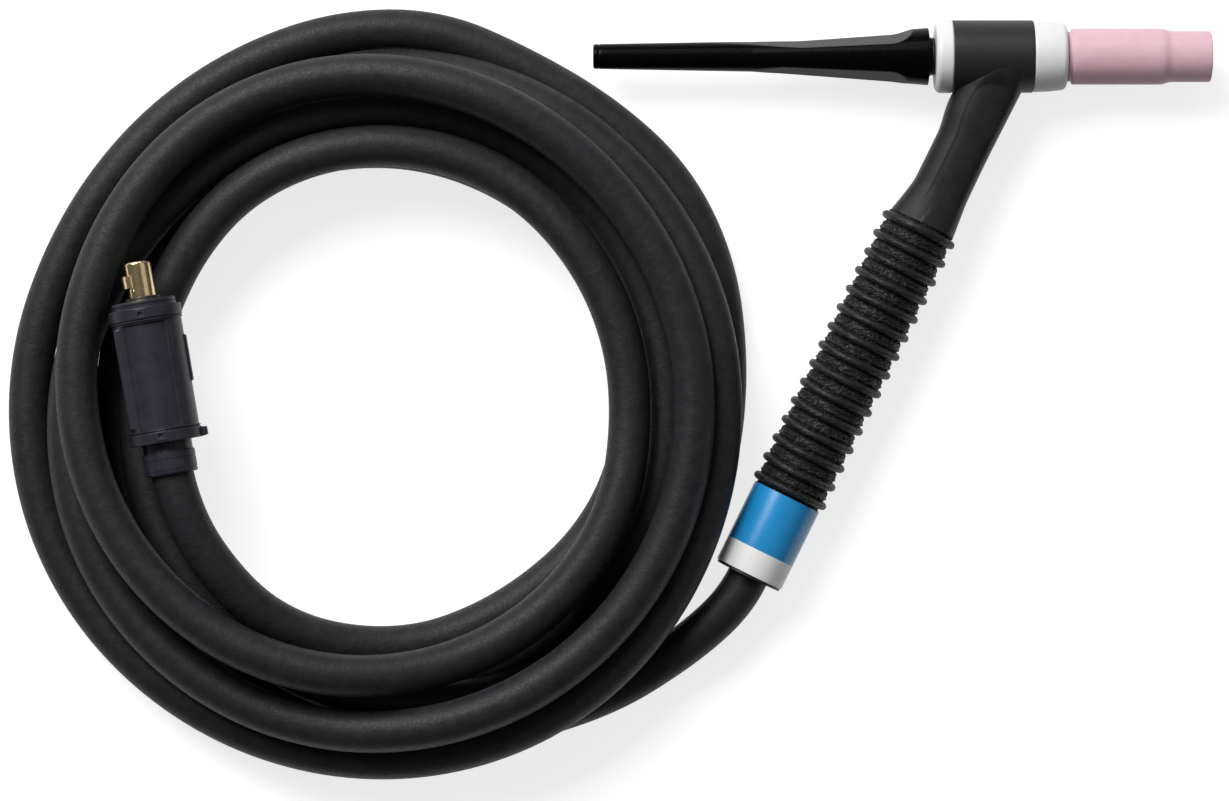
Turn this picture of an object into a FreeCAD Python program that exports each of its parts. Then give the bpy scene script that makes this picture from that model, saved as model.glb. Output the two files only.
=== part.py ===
import FreeCAD, Part
import math
import os

import Sketcher
from FreeCAD import Placement, Rotation, Vector

# A TIG welding torch lying on its side, with its lead coiled beside it and the lead's plug.
# Millimetres. +X runs along the head from the back cap to the nozzle, +Z is up from the surface
# that it lies on, and the origin is on that surface under the middle of the torch.
# The head has its own axis, called x here, from the point where the handle's axis crosses it.
# The handle and the plug have an axis of their own too: the handle's runs from that same point
# to the lead, the plug's from the front of its housing to the lead.

SIZES = {
    # Lie of the torch
    "neck_tilt": 26.2,
    # Head moulding and its brass core
    "head_radius": 12.1,
    "head_back": 17.2,
    "head_front": 9.65,
    "head_edge_round": 0.5,
    "core_radius": 8.5,
    "core_bore_radius": 4.7,
    "core_boss_radius": 5.6,
    "core_boss_reach": 14.0,
    "moulding_clearance": 0.1,
    # White insulators
    "rear_insulator_radius": 12.2,
    "rear_insulator_length": 5.85,
    "rear_insulator_bevel": 1.1,
    "front_insulator_radius": 11.85,
    "front_insulator_nose_radius": 10.8,
    "front_insulator_length": 11.25,
    "insulator_edge": 0.4,
    "insulator_clearance": 0.3,
    # Back cap
    "cap_length": 111.9,
    "cap_tip_radius": 4.1,
    "cap_tip_edge": 0.6,
    "cap_slim_radius": 5.26,
    "cap_skirt_radius": 9.35,
    "cap_cone_length": 47.1,
    "cap_flat_count": 3,
    "cap_flat_first_radius": 5.5,
    "cap_flat_radius": 7.45,
    "cap_flat_end": 10.5,
    "cap_flare_radius": 12.0,
    "cap_shoulder_radius": 6.5,
    "cap_shoulder_length": 0.8,
    "cap_spigot_end": 8.8,
    "cap_bore_radius": 1.9,
    "cap_end_wall": 3.5,
    "cap_seal_gap": 1.35,
    "o_ring_section_radius": 0.5,
    "o_ring_radius": 5.85,
    "screw_clearance": 0.08,
    # Collet, collet body and electrode
    "collet_body_back": 6.0,
    "collet_body_radius": 6.0,
    "collet_body_bore_radius": 2.75,
    "collet_barrel_radius": 4.7,
    "collet_barrel_length": 9.8,
    "collet_barrel_bore_radius": 2.1,
    "collet_seat_length": 4.0,
    "collet_body_nose_radius": 3.0,
    "gas_hole_radius": 0.9,
    "gas_hole_count": 4,
    "gas_hole_place": 3.45,
    "collet_radius": 1.95,
    "collet_head_radius": 2.6,
    "collet_head_length": 4.0,
    "collet_slit_width": 0.4,
    "collet_slit_length": 14.0,
    "collet_cap_gap": 0.3,
    "electrode_radius": 1.2,
    "electrode_length": 172.0,
    "electrode_point_length": 5.0,
    "electrode_setback": 14.0,
    "electrode_clearance": 0.06,
    # Nozzle
    "nozzle_gap": 0.3,
    "nozzle_length": 47.8,
    "nozzle_radius": 9.35,
    "nozzle_step_radius": 8.35,
    "nozzle_step_length": 1.45,
    "nozzle_chamfer_length": 2.2,
    "nozzle_nose_radius": 8.5,
    "nozzle_nose_length": 13.8,
    "nozzle_edge": 0.35,
    "nozzle_mouth_radius": 5.55,
    "nozzle_mouth_length": 22.0,
    "nozzle_chamber_radius": 6.9,
    "nozzle_thread_length": 8.5,
    # Neck moulding, given at stations along the handle's axis
    "neck_head_station": 5.0,
    "neck_head_left": 9.6,
    "neck_head_right": 11.0,
    "neck_head_height": 9.6,
    "neck_top_station": 20.5,
    "neck_top_left": 10.0,
    "neck_top_right": 10.4,
    "neck_top_height": 9.6,
    "neck_waist_station": 33.0,
    "neck_waist_left": 8.55,
    "neck_waist_right": 10.25,
    "neck_waist_height": 9.2,
    "neck_low_station": 48.5,
    "neck_low_left": 8.6,
    "neck_low_right": 10.4,
    "neck_low_height": 9.4,
    "neck_end_left": 11.3,
    "neck_end_right": 11.6,
    "neck_end_height": 11.5,
    "neck_bevel_left": 5.8,
    "neck_bevel_right": 4.8,
    "neck_bevel_drop": 5.0,
    "neck_spigot_length": 11.0,
    "neck_tube_radius": 4.0,
    "neck_tube_bore_radius": 3.1,
    "neck_tube_start": 9.3,
    "neck_tube_end": 84.0,
    # Handle
    "handle_start": 62.5,
    "handle_radius": 11.85,
    "handle_bore_radius": 9.0,
    "handle_grip_length": 101.3,
    "rib_first": 1.95,
    "rib_pitch": 6.93,
    "rib_count": 15,
    "rib_height": 1.5,
    "rib_half_width": 1.6,
    "label_radius": 11.9,
    "label_thickness": 0.25,
    "label_length": 28.7,
    "grommet_lip": 0.9,
    "grommet_lip_radius": 11.4,
    "grommet_plug_length": 9.0,
    "handle_clearance": 0.1,
    # Joint between the neck and the hose, inside the handle
    "fitting_collar_radius": 7.0,
    "fitting_collar_back": 8.0,
    "fitting_thread_radius": 5.5,
    "fitting_thread_length": 13.0,
    "nut_radius": 8.3,
    "nut_length": 16.5,
    "nut_overlap": 10.5,
    "nut_web": 2.4,
    "barb_collar_radius": 5.3,
    "barb_collar_length": 3.0,
    "barb_radius": 4.35,
    "barb_length": 28.0,
    "barb_bore_radius": 2.6,
    "hose_radius": 6.95,
    "hose_bore_radius": 4.5,
    "hose_clearance": 0.08,
    "hose_end_gap": 2.5,
    "ferrule_wall": 0.85,
    "ferrule_length": 18.0,
    "strand_radius": 2.5,
    "strand_hold": 12.0,
    # Plug
    "plug_x": -250.4,
    "plug_y": 1.0,
    "plug_z": 41.5,
    "plug_tilt": 9.6,
    "pin_radius": 4.5,
    "pin_length": 13.0,
    "pin_edge": 0.7,
    "pin_bore_radius": 1.3,
    "pin_bore_length": 15.0,
    "lug_width": 3.2,
    "lug_length": 4.4,
    "lug_height": 1.7,
    "lug_setback": 4.2,
    "pin_collar_radius": 6.4,
    "pin_collar_length": 4.2,
    "barrel_radius": 5.5,
    "barrel_end": 34.0,
    "barrel_socket_radius": 3.1,
    "barrel_socket_length": 17.0,
    "seal_section_radius": 0.6,
    "seal_radius": 5.15,
    "seal_clearance": 0.05,
    "bush_radius": 9.3,
    "clamp_screw_radius": 2.3,
    "clamp_screw_first": 21.0,
    "clamp_screw_pitch": 8.0,
    "plug_strand_radius": 2.6,
    "plug_hose_start": 37.0,
    "plug_length": 47.0,
    "shell_radius": 11.4,
    "shell_bore_radius": 9.5,
    "shell_lip_radius": 10.5,
    "shell_lip_length": 2.4,
    "shell_end_wall": 2.0,
    "panel_depth": 0.6,
    "panel_half_width": 7.0,
    "panel_margin": 0.6,
    "front_ring_length": 4.6,
    "rear_ring_length": 4.4,
    "ring_thickness": 0.5,
    "ring_dot_radius": 0.8,
    "key_start": 13.0,
    "key_length": 15.5,
    "key_width": 3.0,
    "key_height": 0.7,
    "nub_width": 3.2,
    "nub_height": 1.9,
    "sleeve_radius": 8.6,
    "sleeve_length": 10.6,
    "sleeve_groove": 0.5,
    "sleeve_groove_place": 3.2,
    "plug_clearance": 0.1,
}


class Size:
    """A size as its number and as the formula on the sheet that gives that number."""

    def __init__(self, text, value):
        self.text = text
        self.value = value

    def __add__(self, other):
        other = as_size(other)
        return Size(f"({self.text} + {other.text})", self.value + other.value)

    def __sub__(self, other):
        other = as_size(other)
        return Size(f"({self.text} - {other.text})", self.value - other.value)

    def __mul__(self, other):
        other = as_size(other)
        return Size(f"({self.text} * {other.text})", self.value * other.value)

    def __truediv__(self, other):
        other = as_size(other)
        return Size(f"({self.text} / {other.text})", self.value / other.value)

    def __neg__(self):
        return Size(f"(0 - {self.text})", -self.value)


def as_size(number):
    """A plain number as a size."""
    return number if isinstance(number, Size) else Size(str(number), float(number))


def sine(angle):
    """The sine of an angle in degrees."""
    return Size(f"sin({angle.text})", math.sin(math.radians(angle.value)))


def cosine(angle):
    """The cosine of an angle in degrees."""
    return Size(f"cos({angle.text})", math.cos(math.radians(angle.value)))


def root(number):
    """The square root of a size."""
    return Size(f"sqrt({number.text})", math.sqrt(number.value))


doc = FreeCAD.newDocument("tig_torch")
sheet = doc.addObject("Spreadsheet::Sheet", "sizes")
for row, (alias, number) in enumerate(SIZES.items(), 1):
    sheet.set(f"A{row}", alias)
    sheet.set(f"B{row}", str(number))
    sheet.setAlias(f"B{row}", alias)
doc.recompute()

S = {alias: Size(f"sizes.{alias}", float(number)) for alias, number in SIZES.items()}
ZERO = as_size(0)
NODES = []


def node(obj, name):
    """Name a finished piece and keep it for the end."""
    obj.Label = name
    NODES.append(obj)
    return obj


class Seat:
    """Where a piece's own axes sit: a point, and a turn about the upward axis in degrees."""

    def __init__(self, x, y, z, turn):
        self.spot = {"x": x, "y": y, "z": z}
        self.turn = turn

    def put(self, obj):
        where = Vector(*[size.value for size in self.spot.values()])
        obj.Placement = Placement(where, Rotation(Vector(0, 0, 1), self.turn.value))
        for letter, size in self.spot.items():
            obj.setExpression(f"Placement.Base.{letter}", size.text)
        obj.setExpression("Placement.Rotation.Angle", self.turn.text)
        return obj


def plane(body, role):
    """One of a body's own origin planes or axes."""
    return next(item for item in body.Origin.OriginFeatures if item.Role == role)


def sketch_on(body, name, role="XY_Plane", offset=None):
    """A sketch on one of a body's origin planes, moved along its normal by offset."""
    sketch = body.newObject("Sketcher::SketchObject", name)
    sketch.AttachmentSupport = (plane(body, role), "")
    sketch.MapMode = "FlatFace"
    if offset is not None:
        sketch.AttachmentOffset = Placement(Vector(0, 0, offset.value), Rotation())
        sketch.setExpression("AttachmentOffset.Base.z", offset.text)
    return sketch


def fix_point(sketch, edge, end, x, y):
    """Tie one end of an edge to its place on the sheet."""
    for way, size in (("DistanceX", x), ("DistanceY", y)):
        rule = sketch.addConstraint(Sketcher.Constraint(way, -1, 1, edge, end, size.value))
        sketch.setExpression(f"Constraints[{rule}]", size.text)


def polygon(sketch, corners):
    """A closed outline of straight edges through corners, each tied to its sizes."""
    count = len(corners)
    for i, (x, y) in enumerate(corners):
        far_x, far_y = corners[(i + 1) % count]
        start, stop = Vector(x.value, y.value, 0), Vector(far_x.value, far_y.value, 0)
        sketch.addGeometry(Part.LineSegment(start, stop), False)
    for i in range(count):
        sketch.addConstraint(Sketcher.Constraint("Coincident", i, 2, (i + 1) % count, 1))
    for i, (x, y) in enumerate(corners):
        fix_point(sketch, i, 1, as_size(x), as_size(y))


def new_body(name):
    return doc.addObject("PartDesign::Body", name)


def turned(name, corners):
    """A body turned about its own x axis from corners (x, radius)."""
    body = new_body(name)
    sketch = sketch_on(body, name + "_outline")
    polygon(sketch, corners)
    turn = body.newObject("PartDesign::Revolution", name + "_turn")
    turn.Profile = sketch
    turn.ReferenceAxis = (sketch, ["H_Axis"])
    turn.Angle = 360
    sketch.Visibility = False
    return body


def tube(name, start, stop, outer, inner):
    """A plain tube, or a rod where inner is zero."""
    return turned(name, [(start, inner), (stop, inner), (stop, outer), (start, outer)])


def rod(name, start, stop, radius):
    return tube(name, start, stop, radius, ZERO)


def box(name, low, high):
    """A box between two corners."""
    block = doc.addObject("Part::Box", name)
    for side, letter, a, b in zip(("Length", "Width", "Height"), "xyz", low, high):
        block.setExpression(side, (b - a).text)
        block.setExpression(f"Placement.Base.{letter}", a.text)
    return block


def cross_rod(name, along, radius, length, low):
    """An upright cylinder at a place along the axis, from the height low."""
    cylinder = doc.addObject("Part::Cylinder", name)
    cylinder.setExpression("Radius", radius.text)
    cylinder.setExpression("Height", length.text)
    cylinder.setExpression("Placement.Base.x", along.text)
    cylinder.setExpression("Placement.Base.z", low.text)
    return cylinder


def fused(name, pieces):
    """Several shapes as one, or the one shape that there is."""
    if len(pieces) == 1:
        return pieces[0]
    whole = doc.addObject("Part::MultiFuse", name)
    whole.Shapes = pieces
    return whole


def cut(name, base, tools):
    """What is left of base once the tools are taken away."""
    left = doc.addObject("Part::Cut", name)
    left.Base = base
    left.Tool = fused(name + "_tools", tools)
    return left


def ring(name, along, radius, section_radius):
    """A round ring about the x axis."""
    body = new_body(name)
    sketch = sketch_on(body, name + "_section")
    middle = Vector(along.value, radius.value, 0)
    sketch.addGeometry(Part.Circle(middle, Vector(0, 0, 1), section_radius.value), False)
    fix_point(sketch, 0, 3, along, radius)
    size = sketch.addConstraint(Sketcher.Constraint("Radius", 0, section_radius.value))
    sketch.setExpression(f"Constraints[{size}]", section_radius.text)
    turn = body.newObject("PartDesign::Revolution", name + "_turn")
    turn.Profile = sketch
    turn.ReferenceAxis = (sketch, ["H_Axis"])
    turn.Angle = 360
    return body


# Where each axis sits. The origin is under the middle of the torch without its lead.
CAP_FACE = S["head_back"] + S["rear_insulator_length"] + S["cap_seal_gap"] + S["cap_shoulder_length"]
CAP_REACH = CAP_FACE + S["cap_length"]
NOZZLE_BACK = S["head_front"] + S["front_insulator_length"] + S["nozzle_gap"]
NOZZLE_REACH = NOZZLE_BACK + S["nozzle_length"]
COLLET_SEAT = NOZZLE_BACK + S["nozzle_thread_length"] + S["collet_barrel_length"]
GRIP_END = S["handle_start"] + S["handle_grip_length"]
HANDLE_END = GRIP_END + S["label_length"]
LEAD_EXIT = HANDLE_END + S["grommet_lip"]
AXIS_HEIGHT = S["handle_radius"] + S["rib_height"]
LOW_CORNER = LEAD_EXIT * cosine(S["neck_tilt"]) + S["grommet_lip_radius"] * sine(S["neck_tilt"])
HEAD_X = (CAP_REACH - NOZZLE_REACH) / 2
HEAD_Y = (LOW_CORNER - S["rear_insulator_radius"]) / 2
HEAD = Seat(HEAD_X, HEAD_Y, AXIS_HEIGHT, ZERO)
HANDLE = Seat(HEAD_X, HEAD_Y, AXIS_HEIGHT, -(S["neck_tilt"] + 90))
PLUG = Seat(S["plug_x"], S["plug_y"], S["plug_z"], S["plug_tilt"] - 90)

# The hose's route, chosen by hand. The lead bends at one corner on its way to the coil, and an
# arc takes up this share of the shorter run on each side of a corner.
LEAD_FIRST_RUN = 19.0
LEAD_CORNER = Vector(-74.2, -122.0, 10.2)
LEAD_LAST_RUN = 17.0
ARC_SHARE = 0.45
# The coil's middle, where the lead joins it, and then, a quarter turn apart and clockwise, how far
# the hose lies from that middle and how high. The loops differ in size and cross each other: they
# are level at these places and climb between them.
COIL_MIDDLE = Vector(-174.0, -32.0, 0)
COIL_FIRST_ANGLE = -65.3
COIL_FIRST_HEADING = 199.0
COIL_PLACES = [
    (120.6, 7.5), (104.9, 7.5), (105.5, 7.8), (113.2, 30.6),
    (120.9, 30.6), (120.2, 13.9), (122.3, 7.5), (118.0, 7.5),
    (103.5, 20.9), (89.8, 22.0), (80.5, 22.0), (80.8, 25.0),
    (88.8, 43.1), (101.2, 45.2), (106.2, 39.5), (104.5, 44.5),
    (110.6, 44.5), (107.2, 23.6), (95.2, 20.9), (93.9, 10.4),
    (93.5, 7.5), (89.8, 7.5), (83.5, 7.5), (78.8, 7.5), (78.8, 20.9)]
GAP_STEP = 2.0


# Rear insulator: a bevelled ring on the back of the head
def rear_insulator():
    front = -S["head_back"]
    back = front - S["rear_insulator_length"]
    inner = S["core_bore_radius"] + S["insulator_clearance"]
    outer = S["rear_insulator_radius"]
    bevel = S["rear_insulator_bevel"]
    ring_body = turned("rear_insulator", [
        (front, inner), (front, outer - S["insulator_edge"]), (front - S["insulator_edge"], outer),
        (back + bevel, outer), (back, outer - bevel), (back, inner)])
    node(HEAD.put(ring_body), "rear_insulator")


# Front insulator: a ring that narrows a little towards the nozzle
def front_insulator():
    back = S["head_front"]
    front = back + S["front_insulator_length"]
    inner = S["collet_body_radius"] + S["insulator_clearance"]
    outer, nose = S["front_insulator_radius"], S["front_insulator_nose_radius"]
    edge = S["insulator_edge"]
    middle = (back + front) / 2
    bulge = (outer * 2 + nose) / 3
    ring_body = turned("front_insulator", [
        (back, inner), (front, inner), (front, nose - edge), (front - edge, nose),
        (middle, bulge + edge / 2), (back + edge, outer), (back, outer - edge)])
    node(HEAD.put(ring_body), "front_insulator")


# Back cap: a long hollow taper with flats that run out in a flare, and the threaded spigot
def back_cap():
    face = -CAP_FACE
    tip = -CAP_REACH
    slim = face - S["cap_cone_length"]
    spigot = S["core_bore_radius"] - S["screw_clearance"]
    body = turned("back_cap", [
        (tip, ZERO), (tip, S["cap_tip_radius"] - S["cap_tip_edge"]),
        (tip + S["cap_tip_edge"], S["cap_tip_radius"]), (slim, S["cap_slim_radius"]),
        (face, S["cap_skirt_radius"]), (face, S["cap_shoulder_radius"]),
        (face + S["cap_shoulder_length"], S["cap_shoulder_radius"]),
        (face + S["cap_shoulder_length"], spigot), (-S["cap_spigot_end"], spigot),
        (-S["cap_spigot_end"], S["cap_bore_radius"]),
        (tip + S["cap_end_wall"], S["cap_bore_radius"]), (tip + S["cap_end_wall"], ZERO)])
    # The flat's outline: a sloping floor, then a round run-out that climbs to the skirt
    sketch = sketch_on(body, "back_cap_flat")
    floor_end = face - S["cap_flat_end"]
    run, rise = floor_end - slim, S["cap_flat_radius"] - S["cap_flat_first_radius"]
    floor_length = root(run * run + rise * rise)
    top = S["cap_skirt_radius"] * 3
    reach = S["cap_flare_radius"]
    mid_x = floor_end - reach * rise / floor_length
    mid_y = S["cap_flat_radius"] + reach * run / floor_length
    corners = [(slim, S["cap_flat_first_radius"]), (floor_end, S["cap_flat_radius"]),
               (mid_x + reach, mid_y), (mid_x + reach, top), (slim, top)]
    points = [Vector(x.value, y.value, 0) for x, y in corners]
    start_angle = math.atan2(rise.value, run.value) - math.pi / 2
    circle = Part.Circle(Vector(mid_x.value, mid_y.value, 0), Vector(0, 0, 1), reach.value)
    sketch.addGeometry(Part.LineSegment(points[0], points[1]), False)
    sketch.addGeometry(Part.ArcOfCircle(circle, start_angle, 0), False)
    for first, last in ((2, 3), (3, 4), (4, 0)):
        sketch.addGeometry(Part.LineSegment(points[first], points[last]), False)
    for i in range(5):
        sketch.addConstraint(Sketcher.Constraint("Coincident", i, 2, (i + 1) % 5, 1))
    fix_point(sketch, 1, 3, mid_x, mid_y)
    for i in (0, 1, 3, 4):
        fix_point(sketch, i, 1, *corners[i])
    run_out = sketch.addConstraint(Sketcher.Constraint("DistanceY", -1, 1, 2, 1, mid_y.value))
    sketch.setExpression(f"Constraints[{run_out}]", mid_y.text)
    flat = body.newObject("PartDesign::Pocket", "back_cap_flat_cut")
    flat.Profile = sketch
    flat.Midplane = True
    flat.setExpression("Length", (S["cap_skirt_radius"] * 4).text)
    doc.recompute()
    flats = body.newObject("PartDesign::PolarPattern", "back_cap_flats")
    flats.Originals = [flat]
    flats.Axis = (sketch, ["H_Axis"])
    flats.Angle = 360
    flats.setExpression("Occurrences", S["cap_flat_count"].text)
    body.Tip = flats
    node(HEAD.put(body), "back_cap")


# O-ring between the cap's shoulder and the rear insulator
def back_cap_o_ring():
    middle = -(S["head_back"] + S["rear_insulator_length"] + S["cap_seal_gap"] / 2)
    seal = ring("back_cap_o_ring", middle, S["o_ring_radius"], S["o_ring_section_radius"])
    node(HEAD.put(seal), "back_cap_o_ring")


# Head core: a brass barrel with the thread bore and a side boss for the neck tube
def head_core():
    barrel = rod("core_barrel", -S["head_back"], S["head_front"], S["core_radius"])
    boss = rod("core_boss", ZERO, S["core_boss_reach"], S["core_boss_radius"])
    bore = rod("core_bore", -S["head_back"] - 1, S["head_front"] + 1, S["core_bore_radius"])
    duct = rod("core_duct", ZERO, S["core_boss_reach"] + 1, S["neck_tube_bore_radius"])
    socket_radius = S["neck_tube_radius"] + S["moulding_clearance"] / 2
    socket = rod("core_socket", S["neck_tube_start"], S["core_boss_reach"] + 1, socket_radius)
    for piece in (boss, duct, socket):
        Seat(ZERO, ZERO, ZERO, HANDLE.turn).put(piece)
    solid = fused("core_solid", [barrel, boss])
    node(HEAD.put(cut("head_core", solid, [bore, duct, socket])), "head_core")


# Neck sections: an eight-sided outline with a wide flat on top
def neck_section(body, place, left, right, height):
    sketch = sketch_on(body, f"neck_section_{len(body.Group)}", "YZ_Plane", place)
    step_left, step_right = S["neck_bevel_left"], S["neck_bevel_right"]
    side = height - S["neck_bevel_drop"]
    polygon(sketch, [
        (-left, -side), (step_left - left, -height), (right - step_right, -height),
        (right, -side), (right, side), (right - step_right, height),
        (step_left - left, height), (-left, side)])
    return sketch


# Head and neck moulding: a sleeve round the core, the faceted neck and a spigot in the handle
def torch_body_cover():
    edge = S["head_edge_round"]
    outer = S["head_radius"]
    back, front = -S["head_back"], S["head_front"]
    sleeve = turned("cover_sleeve", [
        (back, ZERO), (front, ZERO), (front, outer - edge), (front - edge, outer),
        (back + edge, outer), (back, outer - edge)])
    neck = new_body("cover_neck")
    sections = [
        neck_section(neck, S[f"neck_{part}_station"], S[f"neck_{part}_left"],
                     S[f"neck_{part}_right"], S[f"neck_{part}_height"])
        for part in ("head", "top", "waist", "low")]
    sections.append(neck_section(neck, S["handle_start"], S["neck_end_left"],
                                 S["neck_end_right"], S["neck_end_height"]))
    loft = neck.newObject("PartDesign::AdditiveLoft", "cover_neck_loft")
    loft.Profile = sections[0]
    loft.Sections = sections[1:]
    spigot = rod("cover_spigot", S["handle_start"] - 1, S["handle_start"] + S["neck_spigot_length"],
                 S["handle_bore_radius"] - S["handle_clearance"])
    gap = S["moulding_clearance"]
    core = rod("cover_core_room", back - 1, front + 1, S["core_radius"] + gap)
    boss = rod("cover_boss_room", ZERO, S["core_boss_reach"] + gap, S["core_boss_radius"] + gap)
    pipe = rod("cover_tube_room", ZERO, S["handle_start"] + S["neck_spigot_length"] + 1,
               S["neck_tube_radius"] + gap)
    for piece in (neck, spigot, boss, pipe):
        Seat(ZERO, ZERO, ZERO, HANDLE.turn).put(piece)
    solid = fused("cover_solid", [sleeve, neck, spigot])
    node(HEAD.put(cut("torch_body_cover", solid, [core, boss, pipe])), "torch_body_cover")


# Collet body: screws into the core, carries the nozzle and the gas holes
def collet_body():
    back, seat = -S["collet_body_back"], S["head_front"]
    shank = S["core_bore_radius"] - S["screw_clearance"]
    thread_end = NOZZLE_BACK + S["nozzle_thread_length"]
    seat_start = COLLET_SEAT
    front = seat_start + S["collet_seat_length"]
    hole = S["electrode_radius"] + S["electrode_clearance"] * 2
    thread = S["collet_body_radius"]
    barrel = S["collet_barrel_radius"]
    body = turned("collet_body_turned", [
        (back, S["collet_body_bore_radius"]), (seat, S["collet_body_bore_radius"]),
        (seat, S["collet_barrel_bore_radius"]), (seat_start, S["collet_barrel_bore_radius"]),
        (seat_start + S["collet_seat_length"] / 2, hole), (front, hole),
        (front, S["collet_body_nose_radius"]), (seat_start, barrel), (thread_end, barrel),
        (thread_end, thread), (seat, thread), (seat, shank), (back, shank)])
    place = thread_end + S["gas_hole_place"]
    holes = []
    for i in range(int(S["gas_hole_count"].value)):
        drill = doc.addObject("Part::Cylinder", f"gas_hole_{i}")
        drill.setExpression("Radius", S["gas_hole_radius"].text)
        drill.setExpression("Height", (barrel + 1).text)
        drill.Placement = Placement(Vector(0, 0, 0), Rotation(Vector(1, 0, 0), 0))
        drill.setExpression("Placement.Base.x", place.text)
        drill.setExpression("Placement.Rotation.Angle", (as_size(360 * i) / S["gas_hole_count"]).text)
        holes.append(drill)
    node(HEAD.put(cut("collet_body", body, holes)), "collet_body")


# Collet: a thin tube with crossed slits, pushed by the cap
def collet():
    back = -S["cap_spigot_end"] + S["collet_cap_gap"]
    front = COLLET_SEAT
    head = back + S["collet_head_length"]
    inner = S["electrode_radius"] + S["electrode_clearance"]
    body = turned("collet_turned", [
        (back, inner), (front, inner), (front, S["collet_radius"]), (head, S["collet_radius"]),
        (head, S["collet_head_radius"]), (back, S["collet_head_radius"])])
    half, reach = S["collet_slit_width"] / 2, S["collet_radius"] + 1
    start = front - S["collet_slit_length"]
    slits = [box("slit_flat", (start, -reach, -half), (front + 1, reach, half)),
             box("slit_upright", (start, -half, -reach), (front + 1, half, reach))]
    node(HEAD.put(cut("collet", body, slits)), "collet")


# Electrode: a ground tungsten rod, drawn back inside the nozzle
def electrode():
    tip = NOZZLE_REACH - S["electrode_setback"]
    radius = S["electrode_radius"]
    body = turned("electrode", [
        (tip - S["electrode_length"], ZERO), (tip - S["electrode_length"], radius),
        (tip - S["electrode_point_length"], radius), (tip, radius / 6), (tip, ZERO)])
    node(HEAD.put(body), "electrode")


# Gas nozzle: a stepped alumina tube on the collet body's thread
def gas_nozzle():
    back, mouth = NOZZLE_BACK, NOZZLE_REACH
    step_end = back + S["nozzle_step_length"]
    nose_start = mouth - S["nozzle_nose_length"]
    thread = S["collet_body_radius"] + S["screw_clearance"]
    thread_end = back + S["nozzle_thread_length"]
    mouth_start = mouth - S["nozzle_mouth_length"]
    funnel = S["nozzle_chamber_radius"] - S["nozzle_mouth_radius"]
    edge = S["nozzle_edge"]
    outer, nose = S["nozzle_radius"], S["nozzle_nose_radius"]
    body = turned("gas_nozzle", [
        (back, thread), (thread_end, thread), (thread_end, S["nozzle_chamber_radius"]),
        (mouth_start - funnel, S["nozzle_chamber_radius"]), (mouth_start, S["nozzle_mouth_radius"]),
        (mouth, S["nozzle_mouth_radius"]), (mouth, nose - edge), (mouth - edge, nose),
        (nose_start, nose), (nose_start - S["nozzle_chamfer_length"], outer),
        (step_end + edge, outer), (step_end, outer - edge), (step_end, S["nozzle_step_radius"]),
        (back, S["nozzle_step_radius"])])
    node(HEAD.put(body), "gas_nozzle")


# Handle: a hollow barrel with equal ring ribs, and a seat cut for the label at its end
def handle_grip():
    start = S["handle_start"]
    outer, inner = S["handle_radius"], S["handle_bore_radius"]
    body = turned("handle_barrel", [
        (start, inner), (HANDLE_END, inner), (HANDLE_END, outer), (start, outer)])
    sketch = sketch_on(body, "rib_section")
    first = start + S["rib_first"]
    half = S["rib_half_width"]
    # A rib is a round hump: an arc over its width, closed inside the barrel's wall
    crest = outer + S["rib_height"]
    radius = (half * half + S["rib_height"] * S["rib_height"]) / (S["rib_height"] * 2)
    centre = crest - radius
    spread = math.asin(half.value / radius.value)
    low = outer - 1
    circle = Part.Circle(Vector(first.value, centre.value, 0), Vector(0, 0, 1), radius.value)
    corners = [(first - half, outer), (first - half, low), (first + half, low), (first + half, outer)]
    points = [Vector(x.value, y.value, 0) for x, y in corners]
    for i in range(3):
        sketch.addGeometry(Part.LineSegment(points[i], points[i + 1]), False)
    arc = Part.ArcOfCircle(circle, math.pi / 2 - spread, math.pi / 2 + spread)
    sketch.addGeometry(arc, False)
    for a, a_end, b, b_end in ((0, 2, 1, 1), (1, 2, 2, 1), (2, 2, 3, 1), (3, 2, 0, 1)):
        sketch.addConstraint(Sketcher.Constraint("Coincident", a, a_end, b, b_end))
    for i in range(3):
        fix_point(sketch, i, 1, *corners[i])
    fix_point(sketch, 2, 2, *corners[3])
    rise = sketch.addConstraint(Sketcher.Constraint("DistanceY", -1, 1, 3, 3, centre.value))
    sketch.setExpression(f"Constraints[{rise}]", centre.text)
    rib = body.newObject("PartDesign::Revolution", "rib")
    rib.Profile = sketch
    rib.ReferenceAxis = (sketch, ["H_Axis"])
    rib.Angle = 360
    doc.recompute()
    ribs = body.newObject("PartDesign::LinearPattern", "ribs")
    ribs.Originals = [rib]
    ribs.Direction = (sketch, ["H_Axis"])
    ribs.setExpression("Length", (S["rib_pitch"] * (S["rib_count"] - 1)).text)
    ribs.setExpression("Occurrences", S["rib_count"].text)
    body.Tip = ribs
    under = S["label_radius"] - S["label_thickness"]
    seat = tube("label_seat", GRIP_END, HANDLE_END + 1, crest + 1, under)
    node(HANDLE.put(cut("handle_grip", body, [seat])), "handle_grip")


def handle_trim():
    under = S["label_radius"] - S["label_thickness"]
    label = tube("handle_label", GRIP_END, HANDLE_END, S["label_radius"], under)
    node(HANDLE.put(label), "handle_label")
    # Grommet: a lip over the handle's end and a plug in its bore, round the hose
    inner = S["hose_radius"] + S["hose_clearance"]
    plug_start = HANDLE_END - S["grommet_plug_length"]
    plug_radius = S["handle_bore_radius"] - S["hose_clearance"]
    grommet = turned("handle_grommet", [
        (plug_start, inner), (LEAD_EXIT, inner), (LEAD_EXIT, S["grommet_lip_radius"]),
        (HANDLE_END, S["grommet_lip_radius"]), (HANDLE_END, plug_radius),
        (plug_start, plug_radius)])
    node(HANDLE.put(grommet), "handle_grommet")


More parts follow.
